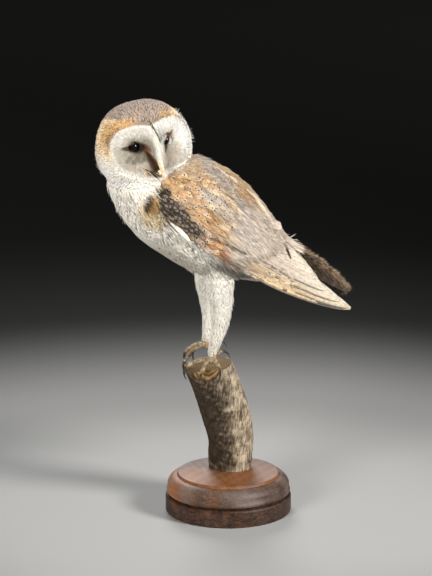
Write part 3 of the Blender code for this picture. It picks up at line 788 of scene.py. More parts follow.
def scattered(chosen, spacing, seed):
    """Places spread over the form's chosen faces, at most one in each cell of a cube lattice, with normals."""
    draw = drawing(seed)
    quads = form_quads[chosen]
    corner = form_points[quads]
    area = 0.5 * np.linalg.norm(np.cross(corner[:, 2] - corner[:, 0], corner[:, 3] - corner[:, 1]), axis=-1)
    count = int(3.2 * area.sum() / spacing ** 2)
    pick = np.searchsorted(np.cumsum(area) / area.sum(), draw.random(count))
    a, b = draw.random((2, count, 1))
    weights = np.stack([(1 - a) * (1 - b), a * (1 - b), a * b, (1 - a) * b], axis=1)
    quad = quads[np.minimum(pick, len(quads) - 1)]
    places = np.sum(form_points[quad] * weights, axis=1)
    normals = unit(np.sum(form_normals[quad] * weights, axis=1))
    cell_key = np.floor(places / spacing).astype(np.int64) @ np.array((1, 4099, 4099 ** 2))
    first = np.unique(cell_key, return_index=True)[1]
    return places[first], normals[first]


def turned(vectors, normals, degrees):
    """Tangent vectors turned about the normals."""
    angle = np.radians(degrees)[:, None]
    return vectors * np.cos(angle) + np.cross(normals, vectors) * np.sin(angle)


def tangent(vectors, normals):
    """Unit vectors with their share along the normal taken off."""
    return unit(vectors - normals * np.sum(vectors * normals, axis=-1, keepdims=True))


def blades(places, normals, lie, length, half_width, sink, rise, stations=4, thickness=0.3, section=LEAF,
           profile=((0, 0.5), (0.4, 1.0), (0.75, 0.8), (1.0, 0.1)), shares=None):
    """Closed blades: the middle line runs from each root along its lie, follows the form through the
    places nearest to its half and its end, starts sunk in the skin and ends risen by a little."""
    halfway, half_normals = nearest_on_form(places + lie * (0.5 * length)[:, None])
    end, end_normals = nearest_on_form(places + lie * length[:, None])
    t = (evenly(stations) if shares is None else shares)[None, :, None]
    weights = (1 - t) * (1 - 2 * t), 4 * t * (1 - t), t * (2 * t - 1)
    middle, up = (sum(weight * row[:, None] for weight, row in zip(weights, rows))
                  for rows in ((places, halfway, end), (normals, half_normals, end_normals)))
    up = unit(up)
    middle = middle + up * (-sink[:, None, None] * (1 - t) ** 1.6 + rise[:, None, None] * t ** 1.5)
    across = unit(np.cross(up, unit(np.gradient(middle, axis=1))))
    width = half_width[:, None] * np.interp(evenly(stations), *np.array(profile).T)
    return (middle[:, :, None] + across[:, :, None] * (width[..., None] * section[:, 0])[..., None]
            + up[:, :, None] * (thickness * section[:, 1] * np.interp(t[0], (0, 0.6, 1), (1, 1, 0.4)))[..., None])


def free_blades(roots, directions, facing, length, half_width, droop, stations=4, thickness=0.18):
    """Blades in the air: straight from each root along its direction, bent away from where they face
    by a share of their length times the square of the way along."""
    length, half_width = (np.broadcast_to(size, len(roots)) for size in (length, half_width))
    t = evenly(stations)[None, :, None]
    directions = unit(directions)
    middle = roots[:, None] + (directions * length[:, None])[:, None] * t
    middle = middle + (facing * (droop * length)[:, None])[:, None] * t ** 2
    across = unit(np.cross(facing, directions))
    width = half_width[:, None] * np.interp(t[0, :, 0], (0, 0.35, 0.7, 1), (0.6, 1.0, 0.7, 0.1))
    return (middle[:, :, None] + across[:, None, None] * (width[..., None] * LEAF[:, 0])[..., None]
            + facing[:, None, None] * (thickness * LEAF[:, 1])[:, None])


def blade_faces(rings, side=1):
    """Quads round each blade and a cap at each end, taken the other way round for the bird's right."""
    index = np.arange(rings.size // 3).reshape(rings.shape[:3])
    after = np.roll(index, -1, axis=2)
    quads = packed(index[:, :-1], index[:, 1:], after[:, 1:], after[:, :-1]).reshape(-1, 4)
    return [f[:, ::side] for f in (quads, index[:, 0], index[:, -1, ::-1])]


def uv_map(piece, name, places):
    """A UV map from a place for each of the mesh's points."""
    corners = np.zeros(len(piece.data.loops), np.int32)
    piece.data.loops.foreach_get("vertex_index", corners)
    layer = piece.data.uv_layers.new(name=name)
    layer.data.foreach_set("uv", places.reshape(-1, 2)[corners].astype(np.float32).ravel())


def bake_map(piece, roots, local):
    """The OFBake map: each blade is a patch 0.003 across at its root's place."""
    uv_map(piece, "OFBake", 0.01 + 0.98 * roots[:, None, None] + 0.003 * (local - 0.5))


def leaf_piece(name, rings, colours, roots, unwrap, side=1):
    """A piece of soft blades: their colours are given for each blade or for rings of its points, and
    their places on the OFBake map come from their roots by an unwrap."""
    piece = new_piece(name, rings, blade_faces(rings, side), SOFT)
    point_colours(piece, "plumage", np.clip(np.broadcast_to(colours, rings.shape).reshape(-1, 3), 0, 1))
    along = evenly(rings.shape[1])[:, None]
    bake_map(piece, unwrap(roots), packed((LEAF[:, 0] + 1) / 2, along))


def body_unwrap(points):
    """Round the body's long axis, and along it from the crown to the ankles."""
    u, v = on_wing(points)
    return packed((np.arctan2(v, points[:, 0]) / (2 * np.pi)) % 1.0, np.clip((u + 70) / 400, 0, 1))


def head_unwrap(points):
    """Round the head's line of sight, and out from the bill to the nape."""
    x, y, z = in_head(points).T
    polar = np.arctan2(np.hypot(x, z), -y) / np.pi
    return packed((np.arctan2(z, x) / (2 * np.pi)) % 1.0, np.clip(polar, 0, 1))


UNWRAPS = {"body": body_unwrap, "leg": body_unwrap, "wing": body_unwrap, "head": head_unwrap}


def coat_piece(name, places, normals, way, sizes, part, seed, fan=1, fan_spread=0.0, jitter=8.0, tone=0.08,
               root_shade=0.7, thickness=0.3, dark=0.0):
    """One piece of coat: blades at the places, each place bearing a fan of blades round the way they lie.
    The sizes are length, half-width, and depth under the skin and height over it at the two ends."""
    draw = drawing(seed)
    lie = tangent(way, normals)
    spread = np.tile(np.linspace(-fan_spread, fan_spread, fan), len(places)) if fan > 1 else 0.0
    length, half_width, sink, rise = (np.repeat(np.broadcast_to(size, len(places)), fan) for size in sizes)
    places, normals, lie = (np.repeat(rows, fan, axis=0) for rows in (places, normals, lie))
    if fan > 1:
        length = length * (1 - 0.25 * (spread / fan_spread) ** 2)
    count = len(places)
    lie = turned(lie, normals, spread + draw.normal(0, jitter, count))
    length = length * draw.uniform(0.8, 1.2, count)
    rise = rise * draw.uniform(0.3, 1.7, count)
    start, start_normals = nearest_on_form(places - lie * (0.35 * length)[:, None])
    rings = blades(start, start_normals, lie, length, half_width * draw.uniform(0.8, 1.2, count), sink, rise,
                   thickness=thickness)
    stations = rings.shape[1]
    colour = plumage(rings[:, :, 0].reshape(-1, 3), part).reshape(count, stations, 1, 3)
    colour = colour * draw.normal(1, tone, (count, 1, 1, 1))
    colour = colour * (root_shade + (1 - root_shade) * evenly(stations) ** 0.8)[None, :, None, None]
    if dark:
        colour = colour * (1 - 0.6 * (draw.random((count, 1, 1, 1)) < dark))
    leaf_piece(name, rings, colour, start, UNWRAPS[part])


face_centres = form_points[form_quads].mean(axis=1)
face_off = np.abs(face_centres[:, 0])
face_along, face_up = on_wing(face_centres)
face_behind = behind(face_along, face_up, MANTLE_START)
face_parts = part_of_points(face_centres)
face_winged = (face_off > 36) & (face_up > -36) & (behind(face_along, face_up, WING_START) > 1)
face_x, face_y, face_z = in_head(face_centres).T
on_body, on_leg = face_parts == 0, face_parts == 3
in_disc = (face_parts == 1) & (face_y < 0) & (disc_distance(face_x, face_z) < 0)
on_crown = (face_parts == 1) & ~in_disc

# White breast, belly and flanks, then the mantle.
places, normals = scattered(on_body & ((face_behind < 5) | (face_up < 4) & ~face_winged), 3.3, 101)
coat_piece("breast_feathers", places, normals, BODY_LIE, (17, 0.75, 3.4, 0.2), "body", 11,
           fan=3, fan_spread=9, jitter=5, tone=0.03, root_shade=0.95, thickness=0.22)
places, normals = scattered(on_body & (face_behind > 4) & (face_up > 2), 3.0, 102)
coat_piece("mantle_down", places, normals, BODY_LIE, (12, 1.0, 3.0, 0.3), "body", 12,
           fan=3, fan_spread=16, jitter=9)

# Legs, thinner towards the ankle.
places, normals = scattered(on_leg, 2.0, 103)
size = 0.55 + 0.45 * ease(205, 270, places[:, 2])
coat_piece("leg_feathers", places, normals, (0.0, 0.12, -1.0), [n * size for n in (10, 0.6, 2.4, 1.1)],
           "leg", 13, fan=3, fan_spread=12, tone=0.05, root_shade=0.88)

# Crown, nape and cheeks.
places, normals = scattered(on_crown, 2.25, 104)
x, y, z = in_head(places).T
way = packed(0.25 * x / 50, 1.0, -0.35 - 0.6 * ease(0, 40, y)) @ TURN.T
size = 1 + 0.55 * ease(0, -24, z) * ease(6, 26, x)
golden = z + 4 * ripple(*places.T, 9, 43) > 0
for name, kept, width, shade, tone, dark in (("crown_feathers_small", golden, 0.9, 0.78, 0.12, 0.03),
                                             ("cheek_feathers_white", ~golden, 0.8, 0.93, 0.04, 0.0)):
    long = size[kept]
    coat_piece(name, places[kept], normals[kept], way[kept],
               (7.5 * long, width * long, 2.0 * long, 0.4 + 0.9 * (long - 1)), "head", 14,
               fan=2, fan_spread=9, jitter=12, tone=tone, root_shade=shade, dark=dark)

# Facial disc: bristles run out from each eye, and down the ridge between them.
places, normals = scattered(in_disc, 1.05, 105)
x, y, z = in_head(places).T
from_eye = unit(packed(x - EYE_OUT * np.where(x < 0, -1.0, 1.0), 0, z - EYE_UP))
ridge = ease(9, 4, np.abs(x - 1.2))[:, None]
way = (from_eye * (1 - ridge) + np.array((0, -0.5, -1.0)) * ridge) @ TURN.T
kept = lid_distance(x, z) > 1.0
coat_piece("disc_bristles", places[kept], normals[kept], way[kept], (6.5, 0.32, 1.0, 0.35), "head",
           15, jitter=7, tone=0.1, thickness=0.2)


def loose_down(name, places, normals, way, length, half_width, lift, part, seed, tones=(0.9, 1.08)):
    """Single barbs that stand off the coat: each starts a little under the coat's surface, leans out of
    its lie by the lift and bends back towards it."""
    draw = drawing(seed)
    count = len(places)
    direction = unit(turned(tangent(way, normals), normals, draw.normal(0, 22, count))
                     + normals * (lift * draw.uniform(0.4, 1.6, (count, 1))))
    length = length * draw.uniform(0.6, 1.3, count)
    rings = free_blades(places - 0.8 * normals, direction, normals, length,
                        half_width * draw.uniform(0.7, 1.3, count), -0.35 * lift)
    colour = plumage(places, part) * draw.uniform(*tones, (count, 1))
    leaf_piece(name, rings, colour[:, None, None], places, UNWRAPS[part])


places, normals = scattered(on_body & (face_behind < 6), 4.4, 121)
loose_down("loose_breast_down", places, normals, BODY_LIE, 9, 0.28, 0.45, "body", 122)
places, normals = scattered(on_leg, 2.3, 123)
size = 0.6 + 0.4 * ease(205, 270, places[:, 2]) + 0.35 * ease(0.2, 0.8, normals[:, 1])
loose_down("loose_leg_down", places, normals, (0.0, 0.25, -1.0), 6 * size, 0.28 * size, 0.5,
           "leg", 124)
places, normals = scattered(on_crown, 4.0, 125)
x, y, z = in_head(places).T
way = packed(0.4 * x / 50, 1.0, -0.7) @ TURN.T
size = 0.55 + 0.35 * ease(8, -30, z)
loose_down("loose_head_down", places, normals, way, 6.5 * size, 0.2 * size, 0.45, "head", 126)

# Small dark flecks lie on the flanks.
places, normals = scattered(on_body & (face_up < -34) & (face_up > -64) & (face_along > 44) & (face_along < 150)
                            & (face_off > 12), 24, 131)
rings = free_blades(places + 1.0 * normals, tangent(BODY_LIE, normals) + 0.05 * normals, normals, 2.4, 0.75, 0)
leaf_piece("flank_flecks", rings, linear("54463A"), places, body_unwrap)

# The ruff: short stiff feathers stand in a raised rim along the disc's edge.


def face_front(x, z):
    """Where lines along the head's line of sight meet the form's face, with the normals there."""
    starts = from_head(packed(x, -90.0, z)).tolist()
    sight = Vector(TURN @ np.array((0.0, 1.0, 0.0)))
    found = [form_tree.ray_cast(p, sight, 120) for p in starts]
    found = [hit if hit[0] is not None else form_tree.find_nearest(p) for hit, p in zip(found, starts)]
    return (np.array([hit[i] for hit in found]) for i in (0, 1))


draw = drawing(141)
edge = smooth_line(DISC_EDGE, 170)
edge = np.repeat(np.concatenate([edge[::-1] * (-1, 1), edge[1:]]), 4, axis=0)
outward = unit(np.roll(edge, -6, axis=0) - np.roll(edge, 6, axis=0))[:, ::-1] * (-1, 1)
outward = outward * np.sign(np.sum(outward * (edge - (0, 3)), axis=-1))[:, None]
edge = edge + outward * draw.uniform(-1.6, 1.4, (len(edge), 1)) + draw.normal(0, 0.4, edge.shape)
edge[:, 0] = np.clip(edge[:, 0], -49.5, 49.5)
x, z = edge.T
places, normals = face_front(x, z)
cheek = ease(14, 28, x) * ease(8, -6, z)
upper = ease(16, 30, z) * ease(26, 12, np.abs(x + 4))
ahead = packed(0.75 * outward[:, 0], -0.55 + 0.5 * cheek, 0.75 * outward[:, 1]) @ TURN.T
rings = free_blades(places - 1.5 * normals, ahead + draw.normal(0, 0.13, ahead.shape), unit(normals),
                    5.0 + 2.0 * ease(10, -30, z) - 1.2 * upper - 2.6 * cheek + draw.uniform(-0.8, 0.8, len(edge)),
                    draw.uniform(0.4, 0.75, len(edge)) * (1 - 0.4 * cheek), -0.2)
beyond = packed(x + 3.5 * outward[:, 0], -20.0, z + 3.5 * outward[:, 1])
colour = head_colour(beyond, places) * draw.choice((0.8, 0.97, 1.06), (len(edge), 1), p=(0.2, 0.4, 0.4))
leaf_piece("disc_ruff", rings, (colour * (1 - 0.14 * cheek[:, None]))[:, None, None], places,
           head_unwrap)

# Tufts stand off the head's outline: where, across, back and up in the head's frame, and their way out.
TUFTS = (((42, -12, 29), (0.75, -0.1, 0.65)), ((49, -19, 6), (0.95, -0.2, 0.35)), ((50, -18, -2), (1, -0.2, 0.1)),
         ((-53, 6, -11), (-1, 0, -0.1)), ((-52, 2, -16), (-0.9, 0, -0.5)))
draw = drawing(149)
root, way = (np.repeat(np.array(rows, float), 14, axis=0) for rows in zip(*TUFTS))
root, out = nearest_on_form(from_head(root + draw.normal(0, 3.0, root.shape)))
way = unit(way + draw.normal(0, 0.3, way.shape)) @ TURN.T
rings = free_blades(root - 0.8 * out, way, tangent(out + draw.normal(0, 0.3, out.shape), way),
                    draw.uniform(3, 6.5, len(root)), draw.uniform(0.08, 0.16, len(root)), 0)
leaf_piece("standing_tufts", rings, linear("EFE8DA"), root, head_unwrap)

# Bristles beside the gape are stuck together in dark, straw and cream points, and the brow's feathers
# part along the crease from the widow's peak.


def face_wisps(name, starts, ends, half_width, tones, stand, droop):
    """Free blades over the face from starts to ends, given across and up the face."""
    root, out = face_front(*starts.T)
    step = list(face_front(*ends.T))[0] + stand * out - root
    rings = free_blades(root - 0.6 * out, step + 0.9 * out, out, np.linalg.norm(step, axis=-1), half_width, droop, 5)
    leaf_piece(name, rings, np.array([linear(tone) for tone in tones])[:, None, None], root,
               head_unwrap)


draw = drawing(151)
starts = packed(np.linspace(-25, -7, 26), np.linspace(-16, -24, 26)) + draw.normal(0, 1.0, (26, 2))
ends = starts + (9, -9) + draw.normal(0, 1.6, (26, 2))
face_wisps("gape_bristles", starts, ends, draw.uniform(0.4, 0.75, 26),
           draw.choice(("2A2019", "2A2019", "33261A", "EFE3C8", "F3EDE0", "B98A4A"), 26), 1.6, -0.08)
share = draw.uniform(0, 1, (30, 1))
side = draw.choice((-1, 1), (30, 1))
starts = smooth_line(CREASE, 40)[(share[:, 0] * 39).astype(int)] + side * (0.9, 0.2) + (0, 1.5)
ends = starts + side * draw.uniform(0.3, 2.2, (30, 1)) * (1, 0.2) + draw.uniform(4, 7, (30, 1)) * (0.32, -1)
face_wisps("parted_brow_feathers", starts, ends, draw.uniform(0.35, 0.6, 30),
           np.where(draw.random(30) < 0.3, "3A2C20", draw.choice(("F3EEE2", "E4D6BC", "C9B28C"), 30)), 1.2, -0.1)

# ----------------------------------------
# Wings: each is folded, with ten primaries and seven secondaries stacked like a fan, their roots under
# rows of coverts that grow smaller towards the wrist. Every vane is a stiff web on a central shaft.

VANE = np.array(((-1, 0), (-0.5, 0.8), (0, 1.3), (0.5, 0.8), (1, 0), (0.5, -0.4), (0, -0.6), (-0.5, -0.4)), float)
VANE_THICKNESS = 0.16
PRIMARIES, FLIGHTS = 10, 17
SPOT_EVERY, SPOT_FROM_TIP = 9.0, 3.4
SIDES = (("left", 1), ("right", -1))
# The folded wing's outline: heights of its lower and upper edges, every so far along it, and heights of
# the feather tips along its upper edge.
OUTLINE_ALONG = (8, 30, 50, 70, 90, 110, 130, 150, 170, 190, 210, 230, 250, 270, 290, 310, 322)
LOWER_EDGE = (-22, -26, -29, -31, -33, -35, -36, -35.5, -33.5, -29, -25, -21, -17, -13, -8, -3, 0)
UPPER_EDGE = (8, 32, 45, 53, 52, 50.5, 47, 38, 33, 29.5, 27, 22, 16, 13, 9, 4.5, 2)
FOLDED_TIPS = ((90, 110, 130, 150, 164, 176, 200, 217, 240, 262, 290, 308, 314),
               (52, 47, 40, 31, 25, 21, 18, 15, 8.5, 1.5, -1.5, -3, -4))
# The coverts end in a slanting line over the flight feathers, and the gap between the greater
# coverts and the row above them is painted dark as shade.
COVERT_END = ((-38, -30, -20, -10, 5, 18, 34, 46), (150, 154, 157, 163, 176, 186, 176, 160))
GAP = ((100, -20), (112, -18.5), (126, -17), (140, -14), (152, -14.5))
wing_trees = {side: tree_of(f"wing_{word}") for word, side in SIDES}


def lower_edge(u):
    """Height of the wing's lower outline, in straight steps between its stations."""
    return np.interp(u, OUTLINE_ALONG, LOWER_EDGE)


def upper_edge(u):
    """Height of the wing's upper outline, in straight steps between its stations."""
    return np.interp(u, OUTLINE_ALONG, UPPER_EDGE)


def wing_plane(u, v):
    """The side view's y and z of a place given along and up the folded wing."""
    flat = WING_ROOT[1:] + u[..., None] * WING_ALONG[1:] + v[..., None] * WING_UP[1:]
    return flat[..., 0], flat[..., 1]


def surface_out(u, v, side):
    """How far out the bird's side lies over each place of the wing plane: where a line square to the
    plane meets the form or, past the form's end, the wing; places off its edge count as on it."""
    u = np.clip(u, 9, 317)
    y, z = wing_plane(u, np.clip(v, lower_edge(u) + 1.5, upper_edge(u) - 1.5 - 4 * ease(140, 170, u)))
    out = []
    inwards = Vector((-side, 0, 0))
    for a, py, pz in zip(u.ravel().tolist(), y.ravel().tolist(), z.ravel().tolist()):
        start = Vector((side * 90, py, pz))
        hit = form_tree.ray_cast(start, inwards, 80)[0] if a < 150 else None
        if hit is None:
            hit = wing_trees[side].ray_cast(start, inwards, 90)[0]
        if hit is None:
            hit = wing_trees[side].find_nearest(Vector((side * 40, py, pz)))[0]
        out.append(abs(hit.x))
    return np.array(out).reshape(u.shape)


def along_vane(stations, power=1.5):
    """Shares of the way along a vane, closer together towards its tip."""
    return 1 - np.linspace(1, 0, stations) ** power


def vane_outline(t, root_width, swell, tip, tip_shape):
    """The share of its width along a vane: it swells from the root up to a share of its length, and
    closes as a superellipse, from where the tip begins and over the tip's share."""
    start, share = tip
    close = np.clip(1 - np.clip((t - start) / share, 0, 1) ** tip_shape, 0.03, 1) ** (1 / tip_shape)
    return root_width + (1 - root_width) * ease(0, swell, t), close


def frayed(draw, fray, count, stations):
    """How far each point of a vane's edges lies from its shaft for wear, as a share of the web."""
    return 1 + fray * draw.normal(size=(count, stations, len(VANE))) * (np.abs(VANE[:, 0]) > 0.9)


def laid_vanes(root, tip, half_width, layer, side, bow=0.0, stations=9, fray=0.05, seed=1, root_width=0.45,
               tip_shape=2.6, camber=0.10, ceiling=None):
    """Vanes over the wing: each middle line runs from root to tip in the wing plane, bowed up or down;
    the half-width swells from the root and closes at the tip, frayed a little; the web follows the
    bird's side, sinks under its neighbour at the root and cups down at its edges."""
    draw = drawing(seed)
    count = len(root)
    t = along_vane(stations)
    step = tip - root
    length = np.linalg.norm(step, axis=-1)
    square = packed(-step[:, 1], step[:, 0]) / length[:, None]
    bow = np.broadcast_to(bow, count)[:, None] * 4 * t * (1 - t)
    middle = root[:, None] + step[:, None] * t[:, None] + square[:, None] * bow[..., None]
    body, close = vane_outline(t, root_width, 0.45, (0.55, 0.45), tip_shape)
    width = half_width[:, None] * body * close
    across = width[..., None] * VANE[:, 0] * frayed(draw, fray, count, stations)
    u, v = np.moveaxis(middle[:, :, None] + square[:, None, None] * across[..., None], -1, 0)
    if ceiling is not None:
        v = np.where(u > 90, np.minimum(v, np.interp(u, *FOLDED_TIPS) + ceiling + 0.02 * v), v)
    web = VANE[:, 1] * VANE_THICKNESS - camber * np.abs(across) * np.abs(VANE[:, 0])
    out = surface_out(u, v, side) + layer[:, None, None] + (-1.0 * (1 - t) ** 1.5)[:, None] + web
    return packed(side * out, *wing_plane(u, v)), length


def stiff_vanes():
    """Close-webbed feathers: matt with a faint silk along the barbs, which run as streaks 0.7 mm apart.
    Each marked feather has black spots 2.3 mm across in white rims every 9 mm up its shaft, others
    have faint bars."""
    made, add, place = new_finish("stiff_vanes", "CFAE7C", 0.75, Specular_IOR_Level=0.25, Sheen_Weight=0.15)
    times, minus = ({"operation": word} for word in ("MULTIPLY", "SUBTRACT"))
    marks, size, mark = (add("Attribute", out="Color", attribute_name=word) for word in ("plumage", "size", "mark"))
    size, mark = (add("SeparateColor", (colour,)).node.outputs for colour in (size, mark))
    vane = add("SeparateXYZ", (add("UVMap", uv_map="vane"),)).node.outputs
    # Millimetres across from the shaft and back from the tip, and away from the nearest spot.
    wide, long = add("Math", (size["Green"], 40.0), **times), add("Math", (size["Red"], 200.0), **times)
    x = add("Math", (add("Math", (vane["X"], 0.5), **minus), wide), **times)
    y = add("Math", (add("Math", (1.0, vane["Y"]), **minus), long), **times)
    from_spot = add("Math", (add("Math", (y, SPOT_EVERY, 0.0), operation="WRAP"), SPOT_FROM_TIP), **minus)
    far = add("VectorMath", (add("CombineXYZ", (x, from_spot)),), "Value", operation="LENGTH")
    slope = add("Mapping", {"Vector": place, "Rotation": (math.radians(33.6), 0, 0)})
    barbs, bands = (add("TexNoise", {"Vector": add("Mapping", {"Vector": slope, "Scale": scale}), "Scale": 1.0,
                                     "Detail": detail, "Roughness": rough})
                    for scale, detail, rough in (((900, 170, 1400), 3, 0.6), ((160, 34, 210), 4, 0.65)))
    freckle = add("TexNoise", {"Vector": place, "Scale": 700, "Detail": 3})
    colour = add("Mix", {0: 1.0, 6: marks, 7: add("MapRange", (barbs, 0.3, 0.68, 0.5, 1.12))}, 2, **SHADED)
    bars = add("Math", (add("Math", (y, 0.42), **times),), operation="SINE")
    off_shaft = add("Math", (x,), operation="ABSOLUTE")
    # In turn: grey and cream bands, freckles, bars, shaft, a painted shade line along one edge, the spots' rims and the
    # spots.
    for value, low, high, most, share, tone in (
            (bands, 0.52, 0.64, 0.5, mark["Blue"], "A79B92"), (bands, 0.45, 0.34, 0.45, mark["Blue"], "E4CFA8"),
            (freckle, 0.42, 0.36, 0.55, None, "6A5848"), (bars, 0.55, 0.95, 1.0, mark["Green"], "7C6A58"),
            (off_shaft, 0.55, 0.15, 0.5, None, "8A6B48"), (vane["X"], 0.1, 0.03, 1.0, size["Blue"], "2A1D12"),
            (far, 2.1, 1.5, 0.38, mark["Red"], "E8E0D0"), (far, 1.4, 1.0, 1.0, mark["Red"], "1C1612")):
        amount = add("MapRange", (value, low, high, 0.0, most))
        if share:
            amount = add("Math", (amount, share), **times)
        colour = add("Mix", {0: amount, 6: colour, 7: tone}, 2, **COLOUR_MIX)
    return dressed(made, colour, barbs, 0.5, 0.0004)


STIFF = stiff_vanes()


def vane_piece(name, rings, side, colours, length, half_width, marks, roots, shade_line=0.0,
               finish=STIFF, replaced=()):
    """A piece of vanes. The vane map runs across and along each feather; two more sets of colours hold
    its size with the strength of a painted shade line along one edge, and how far it is spotted, barred and banded."""
    piece = new_piece(name, rings, blade_faces(rings, side), finish, replaced)
    point_colours(piece, "plumage", np.clip(np.broadcast_to(colours, rings.shape).reshape(-1, 3), 0, 1))
    count, stations, ring = rings.shape[:3]
    local = packed((VANE[:, 0] + 1) / 2, along_vane(stations)[:, None])
    uv_map(piece, "vane", np.broadcast_to(local, (count, stations, ring, 2)))
    bake_map(piece, roots, local)
    for word, values in (("size", (length / 200, half_width / 20, shade_line)), ("mark", marks)):
        point_colours(piece, word, np.repeat(np.broadcast_to(packed(*values), (count, 3)), stations * ring, axis=0))


def flight_feathers(side, seed):
    """Primaries, then secondaries, the outermost lowest, each lying over the one below."""
    draw = drawing(seed)
    number = np.arange(FLIGHTS)
    primary = number < PRIMARIES
    tip_u = np.where(primary, 314 - 0.35 * number - 0.62 * number ** 2, 252 - 10 * (number - PRIMARIES))
    tip_v = np.interp(tip_u, *FOLDED_TIPS) + 0.5 * draw.normal(size=FLIGHTS)
    root_u = np.where(primary, 126 - 2 * number, 108 - 3 * (number - PRIMARIES))
    root_v = np.where(primary, -30.5 + 3.3 * number, 2 + 2.6 * (number - PRIMARIES))
    half = np.where(primary, 8.0, 9.0) * draw.uniform(0.94, 1.06, FLIGHTS)
    bow = np.where(primary, -4.5 + 0.3 * number, 1.5)
    rings, length = laid_vanes(packed(root_u, root_v), packed(tip_u, tip_v), half,
                               -1.3 + 0.13 * number, side, bow=bow, stations=24, fray=0.03, seed=seed,
                               tip_shape=2.2, camber=0.03, ceiling=5.0 - 6.0 * (side < 0))
    return rings, length, half


def flight_colours(rings, draw):
    """Cream leading webs, greyer trailing webs with darker tips, each feather a shade apart."""
    count, stations = rings.shape[:2]
    number, along, across = (np.broadcast_to(values, rings.shape[:3]).ravel() for values in (
        np.arange(count)[:, None, None], along_vane(stations)[:, None], VANE[:, 0]))
    colour = painted(plain("C9B08D", number), ("B9ABA0", ease(3, 8, number) * 0.85),
                     ("A99A88", ease(-0.35, 0.4, across) * 0.8), ("E0D6C4", ease(0.55, 0.95, along) * 0.6))
    return colour.reshape(rings.shape) * draw.normal(1, 0.06, (count, 1, 1, 1))


def covert_rows(draw):
    """Roots in staggered rows over the wing, with each feather's tip, half-width and layer; the lower
    feathers point along the lower edge and the upper ones fall with the upper edge."""
    rows = []
    u, row = 9.0, 0
    while u < 178:
        size = ease(30, 150, u)
        spacing = 5.2 + 2.6 * size
        v = lower_edge(max(u, 14)) + 3.6 + 1.4 * size + (row % 2) * spacing / 2
        while v < max(upper_edge(max(u, 12)), 8) + 1:
            along, up = u + draw.normal(0, 1.1), v + draw.normal(0, 0.8)
            length = (14 + 20 * size * ease(-40, 0, v) + 10 * size) * draw.uniform(0.85, 1.15)
            fall = -8 - 13 * ease(5, 45, v) * ease(60, 130, u) + 9 * ease(-14, -34, v) * ease(80, 140, u)
            heading = math.radians(fall + draw.normal(0, 5))
            length = min(length, np.interp(up, *COVERT_END) + draw.normal(0, 4) - along)
            tip = (along + length * math.cos(heading), up + length * math.sin(heading))
            if behind(u, v, WING_START) > 0 and length > 11 and tip[1] < upper_edge(tip[0]) + 2:
                rows.append((along, up, *tip, 4.2 + 1.4 * size, 0.15 - 0.35 * size))
            v += spacing
        u += 4.6 + 3.6 * size
        row += 1
    rows = np.array(rows)
    return rows[:, :2], rows[:, 2:4], rows[:, 4], rows[:, 5]


def feather_tints(colour, draw):
    """Each feather's own shade: most near the patch's colour, some paler and yellower, rustier or greyer."""
    pick = draw.random(len(colour))
    colour = painted(colour, ("E6CD9C", 0.4 * (pick < 0.2)), ("A66B38", 0.35 * ((pick > 0.2) & (pick < 0.36))),
                     ("A59A92", 0.4 * ((pick > 0.36) & (pick < 0.5))))
    return colour * draw.normal(1, 0.07, (len(colour), 1))


def painted_root_shade(deepest, stations=9):
    """Vanes are painted darker towards their roots, as shade where others cover them."""
    return (deepest + (1 - deepest) * ease(0.2, 0.7, evenly(stations)))[:, None, None]


def wing_unwrap(u, v):
    """Share of the wing's length and of its height, as the map's two coordinates."""
    return packed(np.clip((u + 20) / 350, 0, 1), np.clip((v + 70) / 150, 0, 1))


def covert_barbs(word, side, roots, tips, draw, count=10000):
    """Loose barbs lie over the coverts and blur their edges, except across a spot."""
    pick = draw.integers(0, len(roots), count)
    u = roots[pick, 0] + draw.normal(0, 5, count) + 4
    v = roots[pick, 1] + draw.normal(0, 4, count)
    shaft = unit(tips - roots)
    spots = tips - SPOT_FROM_TIP * shaft
    spots = np.concatenate([spots, spots - SPOT_EVERY * shaft])
    away = np.min([np.hypot(u[:, None] + step - spots[None, :, 0], v[:, None] - 0.18 * step - spots[None, :, 1])
                   for step in (1, 4, 7, 10, 13)], axis=(0, 2))
    on_outline = np.clip(u, 12, 320)
    fit = ((np.where(u > 118, 9, away) > 1.9) & (v < upper_edge(on_outline) + 1 - 7 * ease(90, 120, u))
           & (v > lower_edge(on_outline) + 1) & (behind(u, v, WING_START) > 1) & (behind(u, v, COVERT_END) < -6))
    u, v = u[fit], v[fit]
    count = len(u)
    turn = np.radians(-10 + draw.normal(0, 9, count))[:, None]
    reach = (draw.uniform(7, 13, count) * (1 + 0.5 * ease(40, 140, u)))[:, None]
    t = evenly(5)
    bend = draw.normal(0, 0.9, count)[:, None] * t ** 2
    line_u = u[:, None] + np.cos(turn) * reach * t - np.sin(turn) * bend
    line_v = v[:, None] + np.sin(turn) * reach * t + np.cos(turn) * bend
    width = draw.uniform(0.25, 0.5, count)[:, None] * np.array((0.5, 1.0, 0.9, 0.6, 0.1))
    lift = 0.2 + draw.uniform(0.3, 1.5, count)[:, None] * np.array((0.0, 0.9, 1.0, 1.0, 1.3))
    out = surface_out(line_u, line_v, side)[..., None] + lift[..., None] + 0.18 * LEAF[:, 1]
    web_v = line_v[..., None] + width[..., None] * LEAF[:, 0]
    rings = packed(side * out, *wing_plane(np.broadcast_to(line_u[..., None], web_v.shape), web_v))
    colour = wing_colour(rings[:, 2, 0]) * draw.choice((0.55, 0.85, 1.05, 1.3), count)[:, None]
    # Painted shade: barbs near the gap between the covert rows are darker.
    colour = colour * (1 - 0.75 * ease(2.2, 0.8, line_distance(line_u[:, 2], line_v[:, 2], GAP)[0]))[:, None]
    leaf_piece(f"covert_barbs_{word}", rings, colour[:, None, None], rings[:, 0, 0],
               lambda p: wing_unwrap(*on_wing(p)), side)


